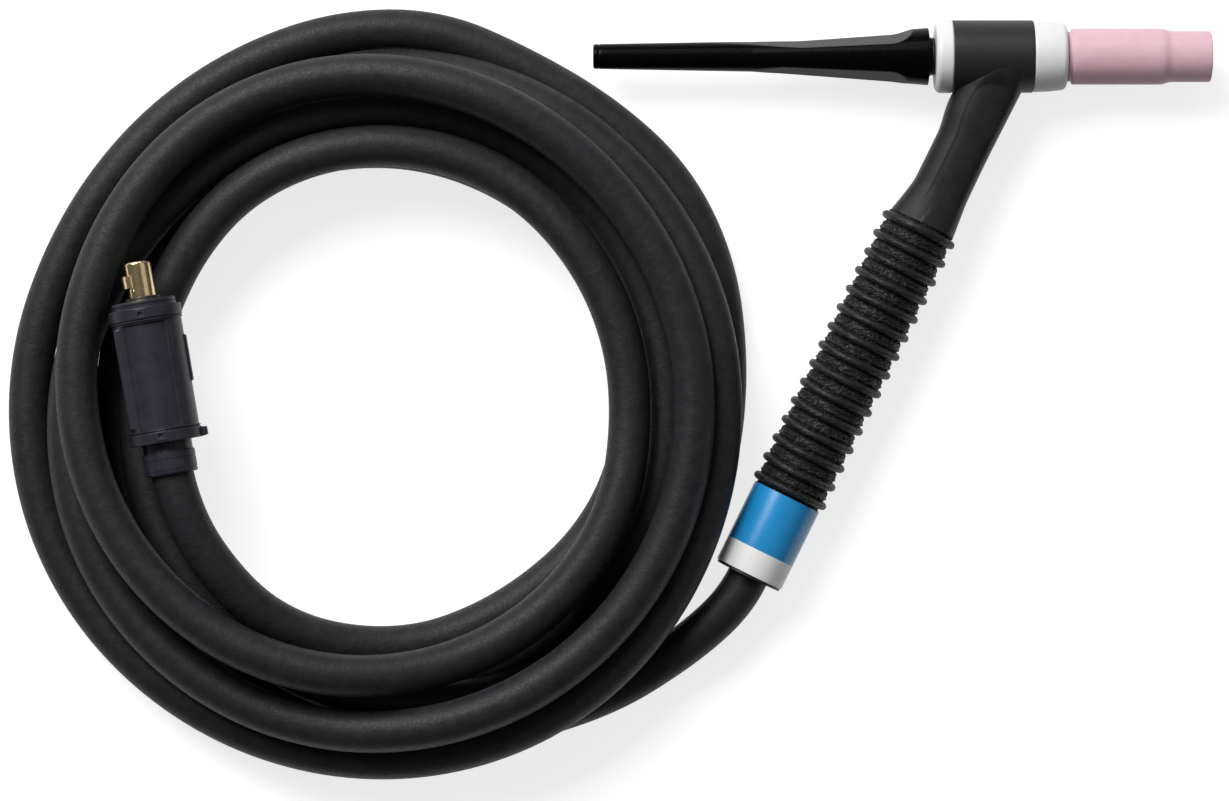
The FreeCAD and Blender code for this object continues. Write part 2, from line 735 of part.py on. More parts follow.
# Neck tube and the screwed joint to the hose
def neck_joint():
    pipe = tube("neck_tube", S["neck_tube_start"], S["neck_tube_end"],
                S["neck_tube_radius"], S["neck_tube_bore_radius"])
    node(HANDLE.put(pipe), "neck_tube")

    seat = S["neck_tube_end"]
    gap = S["moulding_clearance"] / 2
    thread_end = seat + S["fitting_thread_length"]
    collar_start = seat - S["fitting_collar_back"]
    fitting = turned("neck_fitting", [
        (collar_start, S["neck_tube_radius"] + gap), (seat, S["neck_tube_radius"] + gap),
        (seat, S["neck_tube_bore_radius"]), (thread_end, S["neck_tube_bore_radius"]),
        (thread_end, S["fitting_thread_radius"]), (seat, S["fitting_thread_radius"]),
        (seat, S["fitting_collar_radius"]), (collar_start, S["fitting_collar_radius"])])
    node(HANDLE.put(fitting), "neck_fitting")

    nut_start = thread_end - S["nut_overlap"]
    nut_end = nut_start + S["nut_length"]
    nut_bore = S["fitting_thread_radius"] + gap
    stem_room = S["barb_radius"] + gap
    web_start = nut_end - S["nut_web"]
    nut = turned("hose_nut", [
        (nut_start, nut_bore), (web_start, nut_bore), (web_start, stem_room),
        (nut_end, stem_room), (nut_end, S["nut_radius"] - 1), (nut_end - 1, S["nut_radius"]),
        (nut_start, S["nut_radius"])])
    node(HANDLE.put(nut), "hose_nut")

    barb_start = web_start - S["barb_collar_length"]
    barb_end = nut_end + S["barb_length"]
    barb = turned("hose_barb", [
        (barb_start, S["barb_bore_radius"]), (barb_end, S["barb_bore_radius"]),
        (barb_end, S["barb_radius"]), (web_start, S["barb_radius"]),
        (web_start, S["barb_collar_radius"]), (barb_start, S["barb_collar_radius"])])
    node(HANDLE.put(barb), "hose_barb")

    hose_start = nut_end + S["hose_end_gap"]
    hose = tube("hose_inner_end", hose_start, LEAD_EXIT, S["hose_radius"], S["hose_bore_radius"])
    node(HANDLE.put(hose), "hose_inner_end")

    inner = S["hose_radius"] + S["hose_clearance"]
    ferrule = tube("hose_ferrule", hose_start, hose_start + S["ferrule_length"],
                   inner + S["ferrule_wall"], inner)
    node(HANDLE.put(ferrule), "hose_ferrule")

    strand = rod("power_conductor", barb_end - S["strand_hold"], LEAD_EXIT, S["strand_radius"])
    node(HANDLE.put(strand), "power_conductor")


# Plug pin: brass, with a bayonet lug, a gas bore, a collar and the clamp barrel
def plug_pin():
    tip = -S["pin_length"]
    radius = S["pin_radius"]
    collar_end = S["pin_collar_length"]
    end = S["barrel_end"]
    socket = end - S["barrel_socket_length"]
    body = turned("pin_turned", [
        (tip, S["pin_bore_radius"]), (tip, radius - S["pin_edge"]), (tip + S["pin_edge"], radius),
        (ZERO, radius), (ZERO, S["pin_collar_radius"]), (collar_end, S["pin_collar_radius"]),
        (collar_end, S["barrel_radius"]), (end, S["barrel_radius"]),
        (end, S["barrel_socket_radius"]), (socket, S["barrel_socket_radius"]), (socket, ZERO),
        (tip + S["pin_bore_length"], ZERO), (tip + S["pin_bore_length"], S["pin_bore_radius"])])
    half = S["lug_width"] / 2
    lug_end = -S["lug_setback"]
    lug = box("pin_lug", (lug_end - S["lug_length"], -radius - S["lug_height"], -half),
              (lug_end, -radius / 2, half))
    solid = fused("pin_solid", [body, lug])
    drills = [cross_rod(f"pin_screw_hole_{i}", S["clamp_screw_first"] + S["clamp_screw_pitch"] * i,
                        S["clamp_screw_radius"] + S["plug_clearance"], S["barrel_radius"] + 1,
                        -S["barrel_radius"] - 1)
              for i in range(2)]
    node(PLUG.put(cut("plug_pin", solid, drills)), "plug_pin")


# What the plug holds: seal, bush, clamp screws, strand, hose end and ferrule
def plug_inside():
    seal_place = -S["seal_section_radius"] - S["seal_clearance"]
    seal = ring("plug_pin_seal", seal_place, S["seal_radius"], S["seal_section_radius"])
    node(PLUG.put(seal), "plug_pin_seal")

    gap = S["plug_clearance"]
    bush_start = S["pin_collar_length"] + gap
    bush_body = tube("bush_turned", bush_start, S["barrel_end"], S["bush_radius"],
                     S["barrel_radius"] + gap)
    drills = [cross_rod(f"bush_hole_{i}", S["clamp_screw_first"] + S["clamp_screw_pitch"] * i,
                        S["clamp_screw_radius"] + gap * 2, S["bush_radius"], -S["bush_radius"] - 1)
              for i in range(2)]
    node(PLUG.put(cut("plug_core_bush", bush_body, drills)), "plug_core_bush")

    strand = rod("plug_strand", S["barrel_end"] - S["barrel_socket_length"] + 1,
                 S["plug_length"] + S["sleeve_length"], S["plug_strand_radius"])
    node(PLUG.put(strand), "plug_strand")

    low = -S["barrel_radius"]
    screws = [cross_rod(f"clamp_screw_{i}", S["clamp_screw_first"] + S["clamp_screw_pitch"] * i,
                        S["clamp_screw_radius"],
                        S["barrel_radius"] - S["plug_strand_radius"] - gap, low)
              for i in range(2)]
    node(PLUG.put(fused("plug_clamp_screws", screws)), "plug_clamp_screws")

    hose_stop = S["plug_length"] + S["sleeve_length"]
    hose = tube("plug_hose_end", S["plug_hose_start"], hose_stop, S["hose_radius"],
                S["hose_bore_radius"])
    node(PLUG.put(hose), "plug_hose_end")
    inner = S["hose_radius"] + S["hose_clearance"]
    ferrule = tube("plug_hose_ferrule", S["plug_hose_start"],
                   S["plug_length"] - S["shell_end_wall"] - gap, inner + S["ferrule_wall"], inner)
    node(PLUG.put(ferrule), "plug_hose_ferrule")


# Plug housing: two halves with a recessed panel each, held by a ring at each end
def plug_housing():
    gap = S["plug_clearance"]
    lip, end = S["shell_lip_length"], S["plug_length"]
    outer, bore = S["shell_radius"], S["shell_bore_radius"]
    wall_back = end - S["shell_end_wall"]
    front_hole = S["pin_collar_radius"] + gap
    rear_hole = S["hose_radius"] + S["hose_clearance"]
    ring_outer = outer + S["ring_thickness"]
    front_ring_end = lip + S["front_ring_length"]
    rear_ring_start = end - S["rear_ring_length"]
    panel_floor = outer - S["panel_depth"]
    margin = S["panel_margin"]
    far = outer * 2
    for half, low, high in (("upper", ZERO, far), ("lower", -far, ZERO)):
        whole = turned(f"shell_{half}_turned", [
            (ZERO, front_hole), (ZERO, S["shell_lip_radius"]), (lip, S["shell_lip_radius"]),
            (lip, outer), (end, outer), (end, rear_hole), (wall_back, rear_hole),
            (wall_back, bore), (S["pin_collar_length"] + gap, bore),
            (S["pin_collar_length"] + gap, front_hole)])
        side = S["key_width"] / 2
        key = box(f"shell_{half}_key", (S["key_start"], outer - 1, -side),
                  (S["key_start"] + S["key_length"], outer + S["key_height"], side))
        solid = fused(f"shell_{half}_solid", [whole, key])
        keep = box(f"shell_{half}_keep", (-far, -far, low), (end + far, far, high))
        shell = doc.addObject("Part::Common", f"shell_{half}_half")
        shell.Base = solid
        shell.Tool = keep
        skin = tube(f"shell_{half}_skin", front_ring_end + margin, rear_ring_start - margin,
                    outer + 1, panel_floor)
        window = box(f"shell_{half}_window",
                     (front_ring_end + margin, -S["panel_half_width"], low),
                     (rear_ring_start - margin, S["panel_half_width"], high))
        panel = doc.addObject("Part::Common", f"shell_{half}_panel")
        panel.Base = skin
        panel.Tool = window
        name = f"plug_shell_{half}"
        node(PLUG.put(cut(name, shell, [panel])), name)

    inner = outer + gap / 2
    for name, start, stop in (("plug_front_ring", lip, front_ring_end),
                              ("plug_rear_ring", rear_ring_start, end)):
        band = tube(name + "_band", start, stop, ring_outer, inner)
        pieces = [band]
        if name == "plug_rear_ring":
            side = S["nub_width"] / 2
            pieces.append(box("rear_ring_nub", (stop - S["nub_width"], inner + gap, -side),
                              (stop, ring_outer + S["nub_height"], side)))
        solid = fused(name + "_solid", pieces)
        dot = cross_rod(name + "_dot", (start + stop) / 2, S["ring_dot_radius"], S["ring_thickness"],
                        ring_outer - S["ring_thickness"] / 2)
        node(PLUG.put(cut(name, solid, [dot])), name)

    stop = end + S["sleeve_length"]
    groove = end + S["sleeve_groove_place"]
    floor = S["sleeve_radius"] - S["sleeve_groove"]
    sleeve = turned("plug_sleeve", [
        (end, rear_hole), (end, floor), (groove, floor), (groove, S["sleeve_radius"]),
        (stop, S["sleeve_radius"]), (stop, rear_hole)])
    node(PLUG.put(sleeve), "plug_sleeve")


def heading(angle):
    """The level direction at an angle in degrees from +X."""
    return Vector(math.cos(math.radians(angle)), math.sin(math.radians(angle)), 0)


def unit(vector):
    return vector / vector.Length


def spot(seat, along):
    """The point of a seat's own x axis at a distance along it."""
    middle = Vector(*[size.value for size in seat.spot.values()])
    return middle + heading(seat.turn.value) * along.value


def bend(start, corner, stop):
    """The arc from start to stop whose end directions meet at corner."""
    middle = (start + stop) / 2
    share = (stop - start).Length / 2 / (corner - start).Length
    return Part.Arc(start, middle + (corner - middle) * (share / (1 + share)), stop)


def rounded_route(points):
    """Straight runs through points with an arc at each corner, and the arcs' radii."""
    curves, radii = [], []
    reached = points[0]
    for before, corner, after in zip(points, points[1:], points[2:]):
        back, onward = before - corner, after - corner
        reach = ARC_SHARE * min(back.Length, onward.Length)
        start, stop = corner + unit(back) * reach, corner + unit(onward) * reach
        curves += [Part.LineSegment(reached, start), bend(start, corner, stop)]
        radii.append(reach * math.tan(back.getAngle(onward) / 2))
        reached = stop
    curves.append(Part.LineSegment(reached, points[-1]))
    return curves, radii


def double_bend(start, away, stop, onward):
    """Two arcs in one smooth bend that leaves start along away and passes stop along onward."""
    gap = stop - start
    lead = gap.dot(away + onward)
    spread = 2 * (1 - away.dot(onward))
    reach = gap.dot(gap) / (lead + math.sqrt(lead * lead + spread * gap.dot(gap)))
    joint = (start + stop + (away - onward) * reach) / 2
    return [bend(start, start + away * reach, joint), bend(joint, stop - onward * reach, stop)]


def hose_along(name, curves):
    """A stretch of the hose as one solid along joined curves. Gives its route back."""
    radius = float(sheet.get("hose_radius"))
    route = Part.Wire([curve.toShape() for curve in curves])
    start = curves[0].StartPoint
    section = Part.Wire(Part.Circle(start, curves[0].EndPoint - start, radius).toShape())
    solid = route.makePipeShell([section], True, False)
    share = solid.Volume / (math.pi * radius * radius * route.Length)
    print(f"{name}: {route.Length:.0f} mm long, {share:.4f} of its section times its length")
    piece = doc.addObject("Part::Feature", name)
    piece.Shape = solid
    piece.Placement = Placement()
    node(piece, name)
    return route


def least_gap(route):
    """The least clear space between two loops of the route, measured on points along it."""
    count = int(route.Length / GAP_STEP)
    points = route.discretize(Number=count)
    half_loop = int(math.pi * min(reach for reach, height in COIL_PLACES) / GAP_STEP)
    nearest = min(points[i].distanceToPoint(points[j])
                  for i in range(count) for j in range(i + half_loop, count))
    return nearest - 2 * float(sheet.get("hose_radius"))


# Free hose: the lead from the handle to the coil, and the coil, which ends behind the plug
def lead_and_coil():
    straight = 2 * float(sheet.get("hose_radius"))
    places, ways = [], [heading(COIL_FIRST_HEADING)]
    for i, (reach, height) in enumerate(COIL_PLACES):
        outward = heading(COIL_FIRST_ANGLE - 90 * i)
        places.append(COIL_MIDDLE + outward * reach + Vector(0, 0, height))
    coil_start = places[0] - ways[0] * straight
    curves, radii = rounded_route([
        spot(HANDLE, LEAD_EXIT), spot(HANDLE, LEAD_EXIT + LEAD_FIRST_RUN), LEAD_CORNER,
        coil_start - ways[0] * LEAD_LAST_RUN, coil_start])
    print("lead: arc radii", ", ".join(f"{radius:.1f}" for radius in radii), "mm")
    hose_along("hose_lead", curves)

    plug_end = spot(PLUG, S["plug_length"] + S["sleeve_length"])
    into_plug = heading(PLUG.turn.value + 180)
    tail = plug_end - into_plug * straight
    reaches = [reach for reach, height in COIL_PLACES]
    reaches.append(math.dist((tail.x, tail.y), (COIL_MIDDLE.x, COIL_MIDDLE.y)))
    for i in range(1, len(places)):
        angle = COIL_FIRST_ANGLE - 90 * i
        drift = (reaches[i + 1] - reaches[i - 1]) / math.pi
        ways.append(unit(heading(angle) * drift + heading(angle - 90) * reaches[i]))
    places.append(tail)
    ways.append(into_plug)
    curves = [Part.LineSegment(coil_start, places[0])]
    for i in range(len(places) - 1):
        curves += double_bend(places[i], ways[i], places[i + 1], ways[i + 1])
    curves.append(Part.LineSegment(tail, plug_end))
    route = hose_along("hose_coil", curves)
    tightest = min(edge.Curve.Radius for edge in route.Edges[1:-1])
    print(f"coil: tightest arc {tightest:.1f} mm, least gap to itself {least_gap(route):.2f} mm")


rear_insulator()
front_insulator()
back_cap()
back_cap_o_ring()
head_core()
torch_body_cover()
collet_body()
collet()
electrode()
gas_nozzle()
handle_grip()
handle_trim()
neck_joint()
plug_pin()
plug_inside()
plug_housing()
lead_and_coil()
doc.recompute()

for obj in doc.Objects:
    if "Invalid" in obj.State or "Error" in obj.State:
        raise RuntimeError(f"{obj.Name} ({obj.Label}) failed: {obj.State}")
for piece in NODES:
    if piece.Shape.isNull() or not piece.Shape.isValid() or not piece.Shape.Solids:
        raise RuntimeError(f"{piece.Label} has no sound solid")

os.makedirs("parts", exist_ok=True)
for piece in NODES:
    piece.Shape.exportStep(os.path.join("parts", piece.Label + ".step"))
    room = piece.Shape.BoundBox
    print(f"{piece.Label}: {len(piece.Shape.Solids)} solid, {piece.Shape.Volume:.1f} mm3, "
          f"x {room.XMin:.1f} {room.XMax:.1f} y {room.YMin:.1f} {room.YMax:.1f} "
          f"z {room.ZMin:.1f} {room.ZMax:.1f}")
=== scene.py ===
import math

import bmesh
import bpy
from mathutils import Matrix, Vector, noise


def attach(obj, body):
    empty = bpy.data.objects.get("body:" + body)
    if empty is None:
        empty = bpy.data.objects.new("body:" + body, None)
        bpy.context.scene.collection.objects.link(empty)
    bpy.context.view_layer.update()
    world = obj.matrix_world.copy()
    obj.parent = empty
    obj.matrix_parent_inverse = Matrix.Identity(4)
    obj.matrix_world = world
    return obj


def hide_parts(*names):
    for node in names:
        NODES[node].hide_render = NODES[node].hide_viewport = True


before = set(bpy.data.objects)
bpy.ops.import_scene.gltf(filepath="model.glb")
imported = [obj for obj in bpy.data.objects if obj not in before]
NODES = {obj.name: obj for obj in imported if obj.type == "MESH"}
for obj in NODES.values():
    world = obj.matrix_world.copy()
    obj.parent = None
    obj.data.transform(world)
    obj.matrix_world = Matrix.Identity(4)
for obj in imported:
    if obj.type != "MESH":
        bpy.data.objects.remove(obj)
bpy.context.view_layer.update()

MM = 0.001
ROUND = 2 * math.pi
HALF_ROUND = math.pi

# Seats, in millimetres: where an axis starts, and its directions along, across and up
UP = Vector((0, 0, 1))
HEAD = (Vector((34.05, 83.1815, 13.35)), Vector((1, 0, 0)), Vector((0, 1, 0)), UP)
HANDLE = (HEAD[0], Vector((-0.441506, -0.897258, 0)), Vector((0.897258, -0.441506, 0)), UP)
PLUG = (Vector((-250.4, 1.0, 41.5)), Vector((0.166769, -0.985996, 0)),
        Vector((0.985996, 0.166769, 0)), UP)


def place(seat, along, across, up):
    start, x, y, z = seat
    return (start + x * along + y * across + z * up) * MM


# Camera: straight above, as in the photograph
CAMERA_AT = (-0.0959, -0.0317, 1.5)
SENSOR, LENS = 36, 130.37
NEAREST, FARTHEST = 0.1, 20

camera_data = bpy.data.cameras.new("camera")
camera = bpy.data.objects.new("camera", camera_data)
bpy.context.scene.collection.objects.link(camera)
camera.location = CAMERA_AT
camera_data.sensor_width = SENSOR
camera_data.lens = LENS
camera_data.clip_start = NEAREST
camera_data.clip_end = FARTHEST
bpy.context.scene.camera = camera
bpy.context.scene.view_settings.view_transform = "Standard"

# Materials
BUMP = 0.5


def shader_of(made):
    return made.node_tree.nodes["Principled BSDF"]


def material(name, colour, rough, metallic=0.0, gloss=0.5):
    made = bpy.data.materials.new(name)
    made.use_nodes = True
    inputs = shader_of(made).inputs
    inputs["Base Color"].default_value = (*colour, 1)
    inputs["Roughness"].default_value = rough
    inputs["Metallic"].default_value = metallic
    inputs["Specular IOR Level"].default_value = gloss
    return made


def add(made, kind, **inputs):
    """A new node. Its inputs go by their names, with an underscore for a space."""
    step = made.node_tree.nodes.new(kind)
    for key, value in inputs.items():
        step.inputs[key.replace("_", " ")].default_value = value
    return step


def link(made, output, target):
    made.node_tree.links.new(output, target)


def noise_of(made, where, scale, detail, rough):
    step = add(made, "ShaderNodeTexNoise", Scale=scale, Detail=detail, Roughness=rough)
    link(made, where, step.inputs["Vector"])
    return step.outputs["Fac"]


def ramp(made, value, low, high, first, last):
    """Maps low..high of value to first..last."""
    step = add(made, "ShaderNodeMapRange", From_Min=low, From_Max=high, To_Min=first, To_Max=last)
    link(made, value, step.inputs["Value"])
    return step.outputs["Result"]


def colour_between(made, value, low, high, first, last):
    """Runs the base colour from first, where value is low, to last, where it is high."""
    step = add(made, "ShaderNodeValToRGB")
    stops = step.color_ramp.elements
    stops[0].position, stops[1].position = low, high
    stops[0].color, stops[1].color = (*first, 1), (*last, 1)
    link(made, value, step.inputs["Fac"])
    link(made, step.outputs["Color"], shader_of(made).inputs["Base Color"])


def bump(made, value, height, onto=None):
    step = add(made, "ShaderNodeBump", Strength=BUMP, Distance=height)
    link(made, value, step.inputs["Height"])
    if onto is not None:
        link(made, onto.outputs["Normal"], step.inputs["Normal"])
    link(made, step.outputs["Normal"], shader_of(made).inputs["Normal"])
    return step


def mottled(name, colour, other, rough, spread=0.05, grain=2500.0, patch=180.0, depth=0.00004,
            metallic=0.0, gloss=0.5, swell=0.0):
    """A moulded or machined finish: patchy colour, patchy gloss, a fine grain and a slow swell.

    grain and patch are the scales of two noises, depth and swell their heights in metres.
    """
    made = material(name, colour, rough, metallic, gloss)
    where = add(made, "ShaderNodeTexCoord").outputs["Object"]
    patches = noise_of(made, where, patch, detail=5.0, rough=0.6)
    colour_between(made, patches, 0.35, 0.65, colour, other)
    fine = noise_of(made, where, grain, detail=3.0, rough=0.6)
    patchy = ramp(made, fine, 0.3, 0.7, rough - spread, rough + spread)
    link(made, patchy, shader_of(made).inputs["Roughness"])
    slow = bump(made, patches, swell) if swell else None
    bump(made, fine, depth, slow)
    return made


rubber = mottled("hose_rubber", (0.0130, 0.0130, 0.0150), (0.0200, 0.0197, 0.0220), 0.54,
                 spread=0.10, grain=1100.0, patch=260.0, depth=0.00016, gloss=0.26, swell=0.0005)
moulding = mottled("head_moulding", (0.0165, 0.0165, 0.017), (0.0205, 0.0205, 0.021), 0.48,
                   grain=5000.0, patch=300.0, depth=0.00005, gloss=0.3)
# The neck is the same moulding as the head's sleeve, but its colour is about half the sleeve's:
# painted shade on the neck.
neck_painted_shade = mottled("neck_moulding_painted_shade", (0.0085, 0.0085, 0.009), (0.0115, 0.0115, 0.012), 0.50,
                     grain=5000.0, patch=300.0, depth=0.00005, gloss=0.24)
# The stipple ridges are real, but their colour is about three times the neck moulding's: painted
# highlight on the ridges.
stipple_painted_highlight = mottled("neck_stipple_painted_highlight", (0.026, 0.026, 0.0265), (0.034, 0.034, 0.0345), 0.40,
                    grain=5000.0, patch=300.0, depth=0.00005, gloss=0.4)
grip = mottled("grip_rubber", (0.0110, 0.0110, 0.0115), (0.0225, 0.0225, 0.023), 0.42,
               spread=0.10, grain=3000.0, patch=500.0, depth=0.00014, gloss=0.22)
cap_gloss = mottled("cap_gloss", (0.0014, 0.0014, 0.0016), (0.0020, 0.0020, 0.0022), 0.26,
                    spread=0.04, grain=700.0, patch=150.0, depth=0.00002, gloss=0.06)
insulator = mottled("insulator_white", (0.78, 0.78, 0.775), (0.81, 0.81, 0.805), 0.38,
                    patch=200.0, gloss=0.35)
alumina = mottled("pink_alumina", (0.71, 0.455, 0.525), (0.75, 0.49, 0.56), 0.45,
                  spread=0.06, grain=3500.0, patch=250.0, gloss=0.4)
copper = mottled("copper", (0.72, 0.33, 0.20), (0.80, 0.42, 0.28), 0.28,
                 spread=0.06, grain=3000.0, patch=200.0, metallic=1.0)
brass = mottled("brass", (0.70, 0.48, 0.20), (0.78, 0.56, 0.26), 0.24,
                spread=0.06, grain=3000.0, patch=200.0, metallic=1.0)
gold = mottled("pin_brass", (0.86, 0.65, 0.35), (0.93, 0.74, 0.45), 0.22,
               spread=0.06, grain=1800.0, patch=300.0, metallic=1.0)
tungsten = mottled("tungsten", (0.30, 0.30, 0.31), (0.36, 0.36, 0.37), 0.35,
                   spread=0.08, grain=3000.0, patch=300.0, metallic=1.0)
steel = mottled("ferrule_metal", (0.50, 0.50, 0.51), (0.58, 0.58, 0.58), 0.32,
                spread=0.08, patch=200.0, metallic=1.0)
seal = mottled("seal_rubber", (0.008, 0.008, 0.008), (0.013, 0.013, 0.013), 0.5,
               spread=0.08, grain=3000.0, patch=300.0)
plug_plastic = mottled("plug_plastic", (0.0180, 0.0170, 0.0245), (0.0265, 0.0250, 0.0350), 0.42,
                       spread=0.07, grain=3500.0, patch=220.0, depth=0.00006, gloss=0.32,
                       swell=0.00015)
blue = mottled("label_blue", (0.014, 0.255, 0.57), (0.018, 0.280, 0.63), 0.28,
               grain=900.0, patch=120.0, depth=0.00001)
white = mottled("label_white", (0.87, 0.86, 0.865), (0.90, 0.89, 0.895), 0.30,
                grain=900.0, patch=120.0, depth=0.00001)

# Building
SAME_POINT = 1e-7
SHARP = math.radians(40)
HALF_LEG = 0.49


def piece(name, points, faces, finish, stands_for, slot, body="root"):
    """A mesh of one finish or a list of them, on its body, in place of the CAD nodes named."""
    mesh = bpy.data.meshes.new(name)
    mesh.from_pydata([tuple(p) for p in points], [], faces)
    for one in finish if isinstance(finish, list) else [finish]:
        mesh.materials.append(one)
    shape = bmesh.new()
    shape.from_mesh(mesh)
    bmesh.ops.remove_doubles(shape, verts=shape.verts, dist=SAME_POINT)
    bmesh.ops.recalc_face_normals(shape, faces=shape.faces)
    shape.to_mesh(mesh)
    shape.free()
    mesh.polygons.foreach_set("use_smooth", [True] * len(mesh.polygons))
    mesh.set_sharp_from_angle(angle=SHARP)
    mesh.update()
    made = bpy.data.objects.new(name, mesh)
    bpy.context.scene.collection.objects.link(made)
    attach(made, body)
    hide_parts(*stands_for)
    return made


def ring_faces(rows, around, closed):
    """The faces between rows of points that each go round, closed back to the first row or not."""
    faces = []
    for i in range(rows if closed else rows - 1):
        k = (i + 1) % rows
        for j in range(around):
            m = (j + 1) % around
            faces.append((i * around + j, i * around + m, k * around + m, k * around + j))
    return faces


def turned(name, seat, profile, finish, around=96, relief=None, closed=True, **more):
    """A profile of (along, radius) turned about a seat's axis.

    relief adds to the radius at (along, radius, angle).
    """
    points = []
    for x, r in profile:
        for j in range(around):
            a = ROUND * j / around
            reach = r + (relief(x, r, a) if relief else 0)
            points.append(place(seat, x, -reach * math.cos(a), reach * math.sin(a)))
    return piece(name, points, ring_faces(len(profile), around, closed), finish, **more)


def filleted(corners, steps=5):
    """A profile of (along, radius, fillet) corners with each corner rounded."""
    out = []
    for i, (x, r, fillet) in enumerate(corners):
        here = Vector((x, r))
        if fillet <= 0 or i in (0, len(corners) - 1):
            out.append((x, r))
            continue
        back = Vector(corners[i - 1][:2]) - here
        on = Vector(corners[i + 1][:2]) - here
        reach = min(fillet, back.length * HALF_LEG, on.length * HALF_LEG)
        a, b = here + back.normalized() * reach, here + on.normalized() * reach
        for k in range(steps + 1):
            t = k / steps
            p = a * (1 - t) ** 2 + here * (2 * t * (1 - t)) + b * t ** 2
            out.append((p.x, p.y))
    return out


def finer(profile, step):
    """The profile with its legs cut so that none is longer than step."""
    out = [profile[0]]
    for a, b in zip(profile[:-1], profile[1:]):
        n = max(1, math.ceil(math.dist(a, b) / step))
        out += [(a[0] + (b[0] - a[0]) * k / n, a[1] + (b[1] - a[1]) * k / n)
                for k in range(1, n + 1)]
    return out


def spread_over(first, last, count):
    """count even steps from first to last, with both ends."""
    return [first + (last - first) * i / count for i in range(count + 1)]


def even(first, last, radius, step):
    """A straight stretch of a profile, in steps of about that length."""
    return [(x, radius) for x in spread_over(first, last, max(1, round((last - first) / step)))]


def swing(a, middle):
    """The angle from middle to a, between -pi and pi."""
    return (a - middle + HALF_ROUND) % ROUND - HALF_ROUND


def hump(value, middle, wide):
    """1 at the middle, running out smoothly on both sides."""
    return math.exp(-((value - middle) / wide) ** 2)


def step_up(value, start, wide):
    """0 up to start, and 1 from start + wide on."""
    t = min(1.0, max(0.0, (value - start) / wide))
    return t * t * (3 - 2 * t)


def window(value, low, high, wide):
    """1 between low and high, with slopes of that width inside them, and 0 outside."""
    return step_up(value, low, wide) * (1 - step_up(value, high - wide, wide))


def soft_min(a, b, k):
    """The lesser of two, rounded where they come within k of each other."""
    h = max(k - abs(a - b), 0.0) / k
    return min(a, b) - h * h * k * 0.25


def between(keys, column, t):
    """A smooth value between keys that never passes beyond them."""
    i = max(k for k in range(len(keys) - 1) if keys[k][0] <= t + 1e-9)

    def step(k):
        return (keys[k + 1][column] - keys[k][column]) / (keys[k + 1][0] - keys[k][0])

    def slope(k):
        if k == 0:
            return step(0)
        if k == len(keys) - 1:
            return step(k - 1)
        a, b = step(k - 1), step(k)
        return 0.0 if a * b <= 0 else 2 * a * b / (a + b)

    h = keys[i + 1][0] - keys[i][0]
    u = (t - keys[i][0]) / h
    return ((2 * u ** 3 - 3 * u ** 2 + 1) * keys[i][column]
            + (u ** 3 - 2 * u ** 2 + u) * h * slope(i)
            + (3 * u ** 2 - 2 * u ** 3) * keys[i + 1][column]
            + (u ** 3 - u ** 2) * h * slope(i + 1))


# The hose: from the handle's end round the loops to the plug, in millimetres
HOSE = 13.9
HOSE_STEPS_ALONG, HOSE_STEPS_ROUND = 8, 10
HOSE_EXIT = (-51.337, -90.348, 13.35)
LEAD = [HOSE_EXIT, (-54.12, -96.01, 13.35), (-62.47, -105.65, 12.9), (-77.62, -117.74, 9.9),
        (-98.56, -130.63, 7.45)]
LOOPS_X, LOOPS_Y = -172.5, -30.2
PIXEL = 0.334
# Points a turn, and how far in from its points the curve then runs
STEPS = 24
CURVE_REACH = 0.75 + 0.25 * math.cos(ROUND / STEPS)
# turn, reach from the loops' middle in pixels of the photograph, and height in diameters
LOOPS = [
    (0.19, 351.5, 0.53), (0.30, 321, 0.52), (0.40, 315.2, 0.53), (0.50, 312.8, 0.52),
    (0.54, 311.3, 0.52), (0.60, 308.4, 0.52), (0.70, 319.3, 0.56), (0.73, 324.6, 0.68),
    (0.76, 327.3, 0.88), (0.82, 328.4, 1.33), (0.90, 330.8, 1.47), (1.00, 335.1, 1.8),
    (1.06, 340.8, 1.81), (1.17, 356.7, 1.74), (1.25, 361.5, 1.33), (1.40, 363.7, 0.7),
    (1.50, 357, 0.71), (1.58, 349.4, 0.69), (1.64, 353.9, 0.56), (1.70, 361.5, 0.52),
    (1.76, 370, 0.52), (1.83, 352.4, 0.52), (1.90, 359.5, 0.52), (2.00, 339.6, 0.54),
    (2.12, 333.6, 0.8), (2.25, 303.1, 1.45), (2.40, 261.2, 1.55), (2.50, 242, 1.49),
    (2.57, 238.4, 1.52), (2.64, 246.8, 1.66), (2.70, 248.7, 1.76), (2.80, 247.6, 1.73),
    (2.92, 241.7, 1.85), (3.00, 243.3, 1.85), (3.08, 256.6, 2.11), (3.17, 267, 2.18),
    (3.30, 280.2, 2.9), (3.42, 291.4, 2.83), (3.55, 305.6, 2.56), (3.68, 321.6, 2.17),
    (3.73, 319, 2.3), (3.80, 310.6, 2.71), (3.90, 302.8, 2.57), (4.00, 307.4, 2.58),
    (4.10, 316.8, 2.52), (4.20, 327.2, 2.5), (4.30, 334.4, 1.99), (4.40, 329.5, 1.74),
    (4.50, 312.8, 1.55), (4.62, 289.6, 1.48), (4.70, 290.1, 1.35), (4.78, 287.2, 1.37),
    (4.88, 281.3, 1.18), (4.97, 280.4, 1.21), (5.08, 288.3, 1.14), (5.17, 288.4, 0.52),
    (5.28, 277, 0.52), (5.42, 272, 0.52), (5.50, 270.9, 0.52), (5.54, 269.6, 0.52),
    (5.58, 267, 0.52), (5.66, 257.5, 0.52), (5.74, 250, 0.52), (5.83, 246.3, 0.53),
    (5.96, 249.9, 0.52), (6.06, 250.7, 0.52), (6.16, 244.1, 1.01), (6.24, 250, 1.33),
    (6.30, 249.5, 1.86), (6.35, 241.1, 2.56)]
TAIL = [(-238.476, -69.499, 41.5), (-241.6, -51.0, 41.5)]


